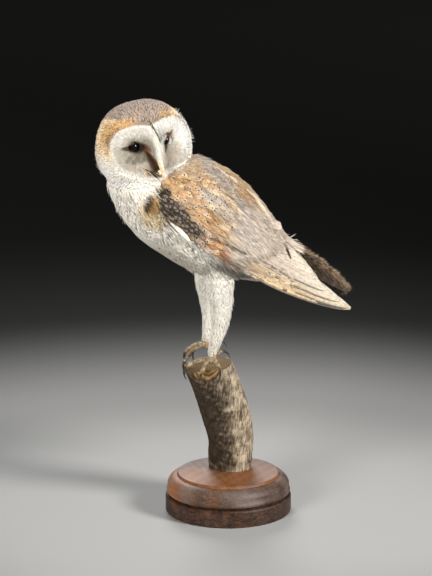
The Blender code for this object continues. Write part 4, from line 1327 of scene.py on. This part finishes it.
for word, side in SIDES:
    draw = drawing(200 + side)
    rings, length, half = flight_feathers(side, 210 + side)
    colour = flight_colours(rings, draw)
    number = np.arange(FLIGHTS)
    # A painted shade line along one edge of each flight feather stands for the slit below it, strongest on the second.
    slit_shade = np.where(number == 1, 1.0, draw.uniform(0.3, 0.6, FLIGHTS) - 0.2 * (number > 4))
    vane_piece(f"flight_feathers_{word}", rings, side, colour, length, half, (0.0, 0.1, 0.12),
               packed(0.1, 0.05 + 0.9 * (number / FLIGHTS)), shade_line=slit_shade, replaced=(f"wing_{word}",))

    roots, tips, widths, layers = covert_rows(draw)
    rings, length = laid_vanes(roots, tips, widths, layers + draw.normal(0, 0.14, len(roots)), side,
                               fray=0.14, seed=220 + side, tip_shape=1.8, camber=0.06)
    # Neither bands nor tints show in the slate patches.
    dark = np.clip(1.3 * patched(*(0.3 * roots + 0.7 * tips).T, DARK_PATCHES), 0, 1)
    patch = wing_colour(rings[:, 6].mean(axis=1))
    colour = feather_tints(patch, draw)
    colour = colour + (patch - colour) * dark[:, None]
    # Painted shade: coverts are darker along the gap between the rows, and towards their roots.
    gap = line_distance(*on_wing(rings.reshape(-1, 3)), GAP)[0].reshape(*rings.shape[:3], 1)
    shade = painted_root_shade(0.82) * (1 - 0.7 * ease(2.6, 1.0, gap))
    rich = np.maximum(dark, patched(*tips.T, GREY_PATCHES))
    spotted = (draw.random(len(roots)) < 0.4 + 0.5 * rich) * ease(140, 112, roots[:, 0])
    vane_piece(f"coverts_{word}", rings, side, colour[:, None, None] * shade, length, widths,
               (spotted * (1 - 0.45 * dark), 0.0, 1 - dark), wing_unwrap(*roots.T))
    covert_barbs(word, side, roots, tips, draw)

# Scapulars and mantle: spotted feathers in staggered rows over the shoulders and down the back, laid on
# the body and over the wings' upper edges.


def contour_vanes(places, normals, lie, length, half_width, rise, seed, stations=9):
    """Vanes like those of the wing, each following the form from its root: the 8-point section widens,
    closes as a superellipse at the tip, and its edges are frayed."""
    t = along_vane(stations)
    body, close = vane_outline(t, 0.45, 0.45, (0.55, 0.45), 1.9)
    rings = blades(places, normals, lie, length, half_width, np.full(len(places), 1.2), rise, stations=stations,
                   thickness=VANE_THICKNESS, section=VANE, shares=t,
                   profile=tuple(zip(evenly(stations), body * close)))
    middle = rings.mean(axis=2, keepdims=True)
    worn = frayed(drawing(seed), 0.08, len(places), stations)
    return middle + (rings - middle) * worn[..., None]


draw = drawing(250)
places, normals = scattered((face_up > 20) & (face_behind > -1) & (face_along < 165) & (face_off < 44), 6.6, 251)
order = np.argsort(-on_wing(places)[0])
places, normals = places[order], normals[order]
along = on_wing(places)[0]
lie = tangent(np.array((0.0, 0.83, -0.55)) + packed(0.004 * places[:, 0], 0, 0), normals)
lie = turned(lie, normals, draw.normal(0, 6, len(places)))
size = ease(30, 130, along)
length = (15 + 12 * size) * draw.uniform(0.9, 1.1, len(places))
half = 5.0 + 2.4 * size
rings = contour_vanes(places, normals, lie, length, half, 0.7 + draw.uniform(0, 0.4, len(places)), 252)
colour = feather_tints(wing_colour(rings[:, 6].mean(axis=1)), draw)
vane_piece("mantle_vanes", rings, 1, colour[:, None, None] * painted_root_shade(0.8), length, half,
           (draw.random(len(places)) < 0.6, 0.0, 1.0), body_unwrap(places))
mantle_spots = rings[:, -1].mean(axis=1) - SPOT_FROM_TIP * lie

# One white feather lies loose under the left wrist's lower edge, and one upper web on the left, turned
# over, is painted dark as shade, to show a dark slit.
for name, root, tip, half, layer, bow, stations, fray, seed, root_width, tip_shape, wide, tone, finish, bake in (
        ("loose_white_feather", (48.0, -29.0), (83.0, -36.5), 3.0, 2.2, 0.8, 14, 0.05, 261, 0.25, 1.5, 2.5,
         "E6E2D6", STIFF, (0.3, 0.02)),
        ("shaded_slit_web", (188.0, 21.0), (206.0, 8.5), 1.5, 1.5, 0.0, 10, 0.1, 262, 0.2, 1.4, 1.5,
         "3A2C20", SOFT, (0.6, 0.6))):
    rings, length = laid_vanes(*(np.array([value]) for value in (root, tip, half, layer)), 1, bow=bow,
                               stations=stations, fray=fray, seed=seed, root_width=root_width, tip_shape=tip_shape)
    vane_piece(name, rings, 1, linear(tone), length, wide, (0, 0, 0), np.array([bake]), finish=finish)

# The shoulders' and back's vanes are blurred by loose barbs of their own, which leave the spots clear.
BACK_LIE = np.array((0.0, 0.83, -0.55))
places, normals = scattered((face_up > 16) & (face_behind > 1) & (face_along < 190) & (face_off < 46), 2.0, 271)
away = np.min(np.linalg.norm(places[:, None] + 4 * tangent(BACK_LIE, normals)[:, None] - mantle_spots[None],
                             axis=-1), axis=1)
places, normals = places[away > 3.6], normals[away > 3.6]
loose_down("mantle_barbs", places + 1.8 * normals, normals, BACK_LIE, 10, 0.35, 0.12, "wing", 272,
           tones=(0.7, 1.2))

# Rump and tail coverts: dark, worn and fluffed up over the root of the tail, paler beside it.
face_out = form_normals[form_quads].mean(axis=1)[:, 0] * np.sign(face_centres[:, 0])
beside = (face_off > 19) & (face_off < 40) & (face_along > 164) & (
    (face_along < 190) & (face_up > -10) & (face_out < 0.45) | (face_along < 208) & (face_up > 13) & (face_out < 0.85))
places, normals = scattered((face_up > 4) & (face_along > 176) & (face_off < 26) | beside, 2.4, 281)
draw = drawing(282)
count, off = len(places), np.abs(places[:, 0])
rise = draw.uniform(0.05, 0.22, count) * (1 - 0.8 * ease(19, 26, off))
rings = free_blades(places - 1.0 * normals, tangent((0.0, 0.88, -0.47), normals) + normals * rise[:, None], normals,
                    draw.uniform(9, 15, count), draw.uniform(0.5, 1.1, count), -0.12, stations=5)
colour = blend(wing_colour(places), "6B5A49", ease(178, 205, on_wing(places)[0]) * ease(26, 19, off))
leaf_piece("rump_down", rings, (colour * draw.uniform(0.6, 1.2, (count, 1)))[:, None, None],
           places, body_unwrap)

# Flank fluff: white down hangs out behind the thighs, below the folded wings, greyed at random by up to two thirds as
# painted shadow under the wings.
places, normals = scattered(on_body & (face_up < -28) & (face_along > 112) & (face_along < 168), 2.6, 291)
loose_down("flank_down", places, normals, (0.0, 0.8, -0.6), 10, 0.4, 0.35, "body", 292,
           tones=(0.35, 0.95))

# ----------------------------------------
# Tail: twelve stiff feathers folded under each other on both sides of the middle pair, worn and
# dark, with their webs frayed and fluffed along the edges.

TAIL_ROOT = np.array((0.0, 48.0, 318.0))
TAIL_SLOPE = math.radians(-27.5)
TAIL_ALONG = np.array((0.0, math.cos(TAIL_SLOPE), math.sin(TAIL_SLOPE)))
TAIL_UP = np.array((0.0, -math.sin(TAIL_SLOPE), math.cos(TAIL_SLOPE)))
TAIL_LENGTH, TAIL_HALF_WIDTH, TAIL_FEATHERS = 118.0, 8.2, 12


def tail_feathers(stations=22):
    """Each middle line runs along the tail, spread a little outwards with its number; the pairs lie
    lower and lower from the middle, like a roof, and their webs close as superellipses at the tip."""
    number = np.repeat(np.arange(TAIL_FEATHERS // 2), 2)
    side = np.tile((1.0, -1.0), TAIL_FEATHERS // 2)
    t = along_vane(stations, 1.4)
    length = TAIL_LENGTH - 2 - 1.1 * number
    start_out, end_out = side * (1.5 + 1.5 * number), side * (2.5 + 2.3 * number)
    out = start_out[:, None] + (end_out - start_out)[:, None] * t
    body, close = vane_outline(t, 0.55, 0.4, (0.7, 0.3), 2.4)
    half = TAIL_HALF_WIDTH * body * close
    across = half[None, :, None] * VANE[:, 0] * frayed(drawing(301), 0.05, TAIL_FEATHERS, stations)
    lift = 5.5 - 1.15 * number[:, None, None] + VANE[:, 1] * VANE_THICKNESS - 0.05 * np.abs(across) * np.abs(VANE[:, 0])
    lift = lift - 2.0 * t[None, :, None] + 0.2 * side[:, None, None]
    place = (TAIL_ROOT + TAIL_ALONG * (length[:, None, None, None] * t[None, :, None, None])
             + TAIL_UP * lift[..., None] + np.array((1.0, 0, 0)) * (out[..., None] + across)[..., None])
    return place, length


rings, length = tail_feathers()
colour = linear("54463A") * drawing(302).normal(1, 0.08, (TAIL_FEATHERS, 1, 1, 1))
fade = 1 - 0.25 * ease(0.3, 1.0, evenly(rings.shape[1]))
vane_piece("tail_feathers", rings, -1, colour * fade[:, None, None], length, TAIL_HALF_WIDTH, (0, 0.8, 0.15),
           packed(0.5, 0.05 + 0.9 * (np.arange(TAIL_FEATHERS) / TAIL_FEATHERS)))

# The worn webs of the middle feathers have rolled up and stand as a fuzzy roll on top of the tail.


def rolled_webs(columns=28, rows=60):
    """Rings along a bent line; radius 9 mm at the root, 5 at the tip, times a rough spiral of ripples."""
    axis = smooth_line(((0, 66, 322), (0, 90, 313), (0, 112, 299), (1, 130, 283), (3, 147, 267)), rows)
    share = evenly(rows)[:, None]
    angle = around(columns)[None]
    radius = (8.5 - 3.5 * share) * (1 + 0.12 * np.sin(3 * angle + 9 * share) + 0.08 * np.sin(23 * share + 2 * angle))
    ring = round_axis(axis, (1, 0, 0), angle)[0]
    return axis, ring, closed_grid(axis[:, None] + ring * radius[..., None], [axis[0], axis[-1]]), radius


axis, outward, (points, faces), radius = rolled_webs()
roll = new_piece("rolled_tail_webs", points, faces, SOFT)
point_colours(roll, "plumage", linear("33281E") * (0.8 + 0.4 * ripple(*points.T, 3, 305))[:, None])
draw = drawing(303)
count = 5200
row, column = draw.integers(2, len(axis), count), draw.integers(0, outward.shape[1], count)
out = outward[row, column]
base = axis[row] + out * (radius[row, column] - 0.8)[:, None]
along = unit(np.gradient(axis, axis=0))[row]
way = along * draw.uniform(0.7, 1.3, (count, 1)) + out * draw.uniform(0.25, 1.1, (count, 1))
rings = free_blades(base, way + draw.normal(0, 0.2, (count, 3)), out, draw.uniform(4, 8.5, count),
                    draw.uniform(0.25, 0.6, count), draw.uniform(-0.5, 0.1, count))
shade = draw.choice((0.3, 0.8, 1.4, 2.2), (count, 1), p=(0.3, 0.3, 0.25, 0.15))
# Painted light and shade: barbs on the roll's upper side are lighter, those underneath darker.
lit = 0.55 + 0.9 * ease(-0.2, 0.8, out[:, 2:])
leaf_piece("tail_worn_barbs", rings, (linear("76634F") * shade * lit)[:, None, None], base,
           lambda p: packed((p[:, 0] + 25) / 50, (p[:, 1] - 40) / 120))

# ----------------------------------------
# Eyes: blown glass, nearly black, set deep in the disc behind soft lids of dried skin, whose bare
# rims are dark.

EYE_BALL = 8.0
EYES = {"left": np.array((EYE_OUT, -18.8, EYE_UP)) + (-0.4, 3.4, -2.8),
        "right": np.array((-EYE_OUT, -18.8, EYE_UP)) + (1.4, 3.4, -1.2)}


def glass_eye():
    """Glass over near-black paint: a hard highlight on a brown depth."""
    return new_finish("glass_eye", "0F0A08", 0.2, Specular_IOR_Level=0.22, Coat_Weight=0.04, Coat_Roughness=0.05)[0]


def ball(centre, radius, columns=64, rows=32):
    """A sphere about the eye's line of sight, its front third raised by 4% as a cornea."""
    polar = np.linspace(0, np.pi, rows + 2)[1:-1, None]
    angle = np.linspace(2 * np.pi, 0, columns, endpoint=False)[None]
    swell = radius * (1 + 0.04 * np.exp(-(polar / 0.5) ** 2))
    grid = packed(swell * np.sin(polar) * np.cos(angle), -swell * np.cos(polar),
                                        swell * np.sin(polar) * np.sin(angle))
    points, faces = closed_grid(grid, [(0, -radius * 1.04, 0), (0, radius, 0)])
    return from_head(points + centre), faces


def eyelids(word, centre, columns=120):
    """A closed shell over the ball: from the almond of the opening it runs out to a circle wider than
    the ball, sinking into the disc; its rim is a rounded lip 0.9 mm thick."""
    (cx, cz), long, high, slant = APERTURES[word]
    angle, turn = around(columns), math.radians(slant)
    c, s = np.cos(angle), np.sin(angle)
    corner = 1 + 0.16 * np.abs(c) ** 8
    rim_x = cx + long * corner * c * math.cos(turn) - high * s * math.sin(turn)
    rim_z = cz + long * corner * c * math.sin(turn) + high * s * math.cos(turn)
    outer_x, outer_z = centre[0] + 13.0 * np.cos(angle + turn), centre[2] + 13.0 * np.sin(angle + turn)
    share = np.array((0, 0.03, 0.1, 0.2, 0.32, 0.46, 0.62, 0.8, 1.0, 1.0, 0.75, 0.5, 0.25, 0.1, 0.02))[:, None]
    skin = np.array((0.0, 0.45, 0.75, 0.85, 0.9, 0.9, 0.9, 0.9, 0.9, 0, 0, 0, 0, 0, -0.1))[:, None]
    x, z = rim_x * (1 - share) + outer_x * share, rim_z * (1 - share) + outer_z * share
    away = np.hypot(x - centre[0], z - centre[2])
    dome = np.sqrt(np.maximum(EYE_BALL ** 2 - np.minimum(away, 6.9) ** 2, 0)) - 0.62 * np.maximum(away - 6.9, 0)
    grid = packed(x, centre[1] - dome - 0.4 - skin, z)
    index = np.arange(x.size).reshape(x.shape)
    below, after = np.roll(index, -1, axis=0), np.roll(index, -1, axis=1)
    return grid, [packed(index, below, np.roll(below, -1, axis=1), after).reshape(-1, 4)]


def face_shade(places):
    """The face's colour, taken well in front of it, for places in the head's frame."""
    return head_colour(places * (1, 0, 1) - (0, 20, 0), from_head(places))


def lid_bristles(word, centre, grid, count=1500):
    """Short bristles grow out of the lids, away from the opening; those above it hang over its edge."""
    draw = drawing(310 + len(word))
    row, column = draw.integers(1, 8, count), draw.integers(0, grid.shape[1], count)
    root = grid[row, column] + draw.normal(0, 0.2, (count, 3))
    (cx, cz), ahead = APERTURES[word][0], unit(root - centre)
    away = unit((root - (cx, 0, cz)) * (1, 0, 1))
    direction = tangent(away + 0.25 * draw.normal(size=(count, 3)), ahead) + 0.12 * ahead
    rings = free_blades(root - 0.3 * ahead, direction, ahead, draw.uniform(2.5, 5.0, count),
                        draw.uniform(0.16, 0.3, count), -0.25)
    shade = face_shade(rings.reshape(-1, 3)).reshape(rings.shape) * draw.normal(1, 0.15, count)[:, None, None, None]
    leaf_piece(f"lid_bristles_{word}", from_head(rings), shade, from_head(root), head_unwrap)


GLASS = glass_eye()
for word, centre in EYES.items():
    points, faces = ball(centre, EYE_BALL)
    new_piece(f"glass_eye_{word}", points, faces, GLASS, (f"eye_{word}",))
    grid, faces = eyelids(word, centre)
    lids = new_piece(f"eyelids_{word}", from_head(grid), faces, SOFT)
    flat = grid.reshape(-1, 3)
    rim = ease(1.3, 0.3, lid_distance(flat[:, 0], flat[:, 2]))
    point_colours(lids, "plumage", blend(face_shade(flat), "120D0A", rim))
    lid_bristles(word, centre, grid)

# ----------------------------------------
# Bill: ivory-coloured horn, hooked, in two closed halves, most of it buried in the bristles of the
# ridge between the discs.


def horn(name, colour, scale, detail, stops, **sockets):
    """Horn in two tones that change slowly along its growth."""
    made, add, place = new_finish(name, colour, 0.35, **sockets)
    lines = add("TexNoise", {"Vector": place, "Scale": scale, "Detail": detail})
    return dressed(made, add("ValToRGB", (lines,), stops=stops))


def curved_horn(axis, radii, across, flatten=0.8, columns=20):
    """Rings round an axis: radius times a circle flattened along the direction across."""
    angle = around(columns)[None, :]
    _, side, other = round_axis(axis, across, angle)
    grid = (axis[:, None] + side[:, None] * (flatten * radii[:, None] * np.cos(angle))[..., None]
            + other[:, None] * (radii[:, None] * np.sin(angle))[..., None])
    return closed_grid(grid, [axis[0], axis[-1]])


def bent_line(start, ahead, down, length, bends, count):
    """A line whose slope, from ahead towards down, runs evenly from the first bend to the last."""
    bend = np.radians(np.linspace(*bends, count))[:, None]
    steps = length / (count - 1) * (np.array(ahead) * np.cos(bend) + np.array(down) * np.sin(bend))
    return np.array(start) + np.concatenate([np.zeros((1, 3)), np.cumsum(steps[1:], axis=0)])


# Smooth and slightly waxy, ivory at the tip and pinkish at the root, with faint growth lines.
IVORY_HORN = horn("bill_horn", "D9C6A4", 500, 2, ((0.3, "B99C74"), (0.65, "EADBBE")), Coat_Weight=0.2)
for word, start, length, bends, radius, flatten, count in (
        ("upper", (1.0, -37.5, -8.0), 27.5, (38, 108), 5.0, 0.72, 26),
        ("lower", (0.5, -32.0, -22.0), 10.5, (30, 50), 3.2, 0.8, 14)):
    axis = bent_line(start, (0.0, -1.0, 0.0), (0.0, 0.0, -1.0), length, bends, count)
    radii = radius * (1 - evenly(count)) ** 0.6 + 0.25
    points, faces = curved_horn(axis, radii, (1, 0, 0), flatten)
    new_piece(f"bill_{word}_horn", from_head(points), faces, IVORY_HORN, (f"bill_{word}",))

# ----------------------------------------
# Feet: dried toes that arch from the ball of the foot down over the branch, covered in small scutes
# above and pads below, each with a long hooked claw.

BALL_DROP = np.array((0.0, 0.0, 3.5))
FOOT_BALL = {1: (20.0, -28.0, 200.0) - BALL_DROP, -1: (-20.0, -22.0, 208.0) - BALL_DROP}
TOE_RADIUS = 3.0
SCUTE_STEP = 1.7
CLAW_LENGTH = 18.0
CLAW_TURN = 75
# Each toe's heading in degrees, its reach, drop and arch in millimetres, and the slope of its claw's root.
TOES = {
    1: {"inner": (-27, 31.0, 10.5, 1.0, 55), "middle": (24, 16.5, 15.0, 2.5, 80),
        "outer": (118, 13.0, 9.0, 2.0, 60), "hind": (192, 14.0, -8.5, 1.5, 5)},
    -1: {"inner": (-24, 35.0, 15.0, 3.0, 60), "middle": (4, 25.5, 8.0, 3.0, 60),
         "outer": (62, 22.0, 13.0, 2.0, 70), "hind": (188, 13.0, -6.5, 1.5, 5)},
}


def toe_line(side, toe, count):
    """From the ball of the foot out along its heading, arched up, then down over the edge."""
    heading, reach, drop, arch, _ = TOES[side][toe]
    turn = math.radians(heading)
    t = evenly(count)[:, None]
    out = np.array((side * math.sin(turn), -math.cos(turn), 0))
    return FOOT_BALL[side] + out * reach * t + np.array((0, 0, 1)) * (4 * arch * t * (1 - t) - drop * t ** 1.6)


def toe_skin():
    """Dry scaly skin: brown-grey scutes with paler edges, darker in the creases."""
    made, add, place = new_finish("scaly_toe_skin", "8A765E", 0.65, Specular_IOR_Level=0.35)
    cells = add("TexVoronoi", {"Vector": place, "Scale": 900}, feature="DISTANCE_TO_EDGE")
    creases = add("MapRange", (cells, 0.0, 0.14))
    mottle = add("TexNoise", {"Vector": place, "Scale": 260, "Detail": 4})
    tones = add("ValToRGB", (mottle,), stops=((0.32, "5A4732"), (0.68, "B09C7E")))
    mixed = add("Mix", {0: 1.0, 6: tones, 7: add("MapRange", (creases, 0.0, 1.0, 0.45, 1.0))}, 2, **SHADED)
    return dressed(made, mixed, creases, 0.6, 0.0004)


def scaled_toe(line, columns=22):
    """Rings round the toe: radius swells at each joint, scutes step every 1.7 mm across its upper half,
    pads bulge between the joints on its underside."""
    t = evenly(len(line))[:, None]
    length = np.linalg.norm(np.diff(line, axis=0), axis=1).sum()
    angle = around(columns)[None, :]
    _, side, other = round_axis(line, np.cross(line[-1] - line[0], (0, 0, 1)), angle)
    upper = np.sin(angle) * np.sign(other[len(line) // 2, 2])
    radius = TOE_RADIUS * (1.05 - 0.32 * t + 0.06 * np.cos(7 * np.pi * t))
    scute = 0.32 * (1 - (t * length / SCUTE_STEP) % 1.0) ** 2 * ease(-0.1, 0.5, upper)
    pads = 0.45 * np.abs(np.sin(3 * np.pi * t)) * ease(0.0, -0.7, upper)
    reach = radius + scute + pads - 0.15
    grid = (line[:, None] + side[:, None] * (reach * np.cos(angle))[..., None]
            + other[:, None] * (reach * np.sin(angle))[..., None])
    return closed_grid(grid, [line[0], line[-1] + unit(line[-1] - line[-2]) * 1.2])


def add_to(bm, points, faces):
    """Adds points and faces to a mesh being edited."""
    verts = [bm.verts.new(p) for p in (points * MM).tolist()]
    for block in faces:
        for face in block.tolist():
            bm.faces.new([verts[i] for i in face])


def joined_foot(side):
    """The toes and the ball between them, joined as voxels of 0.45 mm so that the skin runs on."""
    whole = bmesh.new()
    for toe in TOES[side]:
        add_to(whole, *scaled_toe(toe_line(side, toe, 70)))
    angle, polar = around(32)[None], np.linspace(0.1, np.pi - 0.1, 20)[:, None]
    grid = packed(4.9 * np.sin(polar) * np.cos(angle), 4.9 * np.sin(polar) * np.sin(angle),
                                        5.6 * np.cos(polar)) + FOOT_BALL[side]
    add_to(whole, *closed_grid(grid, [FOOT_BALL[side] + (0, 0, 5.6), FOOT_BALL[side] - (0, 0, 5.6)]))
    shaft = evenly(12)[:, None] * np.array((0.0, 2.0, 14.0)) + FOOT_BALL[side]
    add_to(whole, *curved_horn(shaft, np.full(12, 3.6), (1, 0, 0), flatten=1.0))
    bmesh.ops.recalc_face_normals(whole, faces=whole.faces)
    return smoothed_voxels(whole, 0.45, 2)


SCALY = toe_skin()
# Dark horn, dull and scratched at the root, polished to the point, paler along the worn inside.
DARK_HORN = horn("claw_horn", "2A211C", 400, 3, ((0.35, "15100D"), (0.75, "5A4A3C")))
for word, side in SIDES:
    points, _, quads = joined_foot(side)
    new_piece(f"scaled_foot_{word}", points, [quads], SCALY, (f"foot_{word}",))
    for toe, (*_, slope) in TOES[side].items():
        line = toe_line(side, toe, 8)
        flat = unit(unit(line[-1] - line[-2]) * (1, 1, 0))
        axis = bent_line(line[-1], flat, (0, 0, -1), CLAW_LENGTH, (slope, slope + CLAW_TURN), 26)
        radii = 1.75 * (1 - evenly(26)) ** 0.75 + 0.12
        points, faces = curved_horn(axis, radii, np.cross(flat, (0, 0, 1)), flatten=0.85)
        new_piece(f"hooked_claw_{word}_{toe}", points, faces, DARK_HORN, (f"claw_{word}_{toe}",))

# ----------------------------------------
# Studio: a long lens from the bird's left front, grey paper underneath, a warm light from behind on
# the left, two soft fills and a dim room.

CAMERA_TARGET = Vector((-0.01069, -0.01229, 0.27585))
CAMERA_AZIMUTH = math.radians(72)
CAMERA_PITCH = math.radians(13.5)
CAMERA_DISTANCE = 3.0
away = Vector((math.sin(CAMERA_AZIMUTH) * math.cos(CAMERA_PITCH),
               -math.cos(CAMERA_AZIMUTH) * math.cos(CAMERA_PITCH), math.sin(CAMERA_PITCH)))
lens = bpy.data.cameras.new("studio_camera")
lens.lens = 156.25


def placed(name, data, place, away):
    """A camera or a light at a place, looking against a direction."""
    made = new_object(name, data)
    made.location, made.rotation_euler = place, away.to_track_quat("Z", "Y").to_euler()
    return made


bpy.context.scene.camera = placed("studio_camera", lens, CAMERA_TARGET + away * CAMERA_DISTANCE, away)

# The paper is a flat disc whose far edge sweeps up by a quarter turn, so that no horizon shows from
# low down. Its colour is painted darker away from the mount: a painted pool of light round the bird.
FLOOR_RADIUS, SWEEP_RADIUS, FLOOR_COLUMNS, SWEEP_ROWS = 12000, 3200, 96, 9
turn = np.linspace(0, np.pi / 2, SWEEP_ROWS)[:, None]
angle = around(FLOOR_COLUMNS)[None, :]
reach = FLOOR_RADIUS + SWEEP_RADIUS * np.sin(turn)
grid = packed(reach * np.cos(angle), reach * np.sin(angle),
                                    SWEEP_RADIUS * (1 - np.cos(turn)))
index = np.arange(SWEEP_ROWS * FLOOR_COLUMNS).reshape(SWEEP_ROWS, FLOOR_COLUMNS)
after = np.roll(index, -1, axis=1)
sweep = packed(index[:-1], index[1:], after[1:], after[:-1]).reshape(-1, 4)
floor_mesh = bpy.data.meshes.new("studio_floor")
floor_mesh.from_pydata((grid.reshape(-1, 3) * MM).tolist(), [], [index[0].tolist()] + sweep.tolist())
studio_floor = new_object("studio_floor", floor_mesh)
paper, add, place = new_finish("matte_paper", "D4D3D1", 0.9, Specular_IOR_Level=0.2)
near = add("MapRange", (add("VectorMath", (place,), "Value", operation="LENGTH"), 0.0, 5.0))
painted_light_pool = add("ValToRGB", (near,), stops=((0.05, "9A9A99"), (0.1, "858584"), (0.2, "232322"), (1.0, "5C5C58")))
painted_light_pool.node.color_ramp.interpolation = "EASE"
floor_mesh.materials.append(dressed(paper, painted_light_pool))

for name, place, height, size, power, colour in (
        ("key_light", (1.55, 1.25, 1.35), 0.28, 0.7, 9.6, (1, 0.98, 0.95)),
        ("front_fill", (1.7, -2.0, 0.95), 0.3, 1.3, 13, (1, 0.985, 0.96)),
        ("back_fill", (-1.8, 0.3, 1.5), 0.28, 1.2, 6, (1, 1, 1))):
    data = bpy.data.lights.new(name, "AREA")
    data.shape, data.size, data.energy = "DISK", size, power
    data.color, data.spread = colour, math.radians(60)
    light = placed(name, data, place, Vector(place) - Vector((0, 0, height)))
    light.visible_glossy = name != "front_fill"
world = bpy.data.worlds.new("studio_dim")
world.use_nodes = True
world.node_tree.nodes["Background"].inputs["Color"].default_value = (0.05, 0.05, 0.052, 1)
bpy.context.scene.world = world
bpy.context.scene.view_settings.view_transform = "Standard"
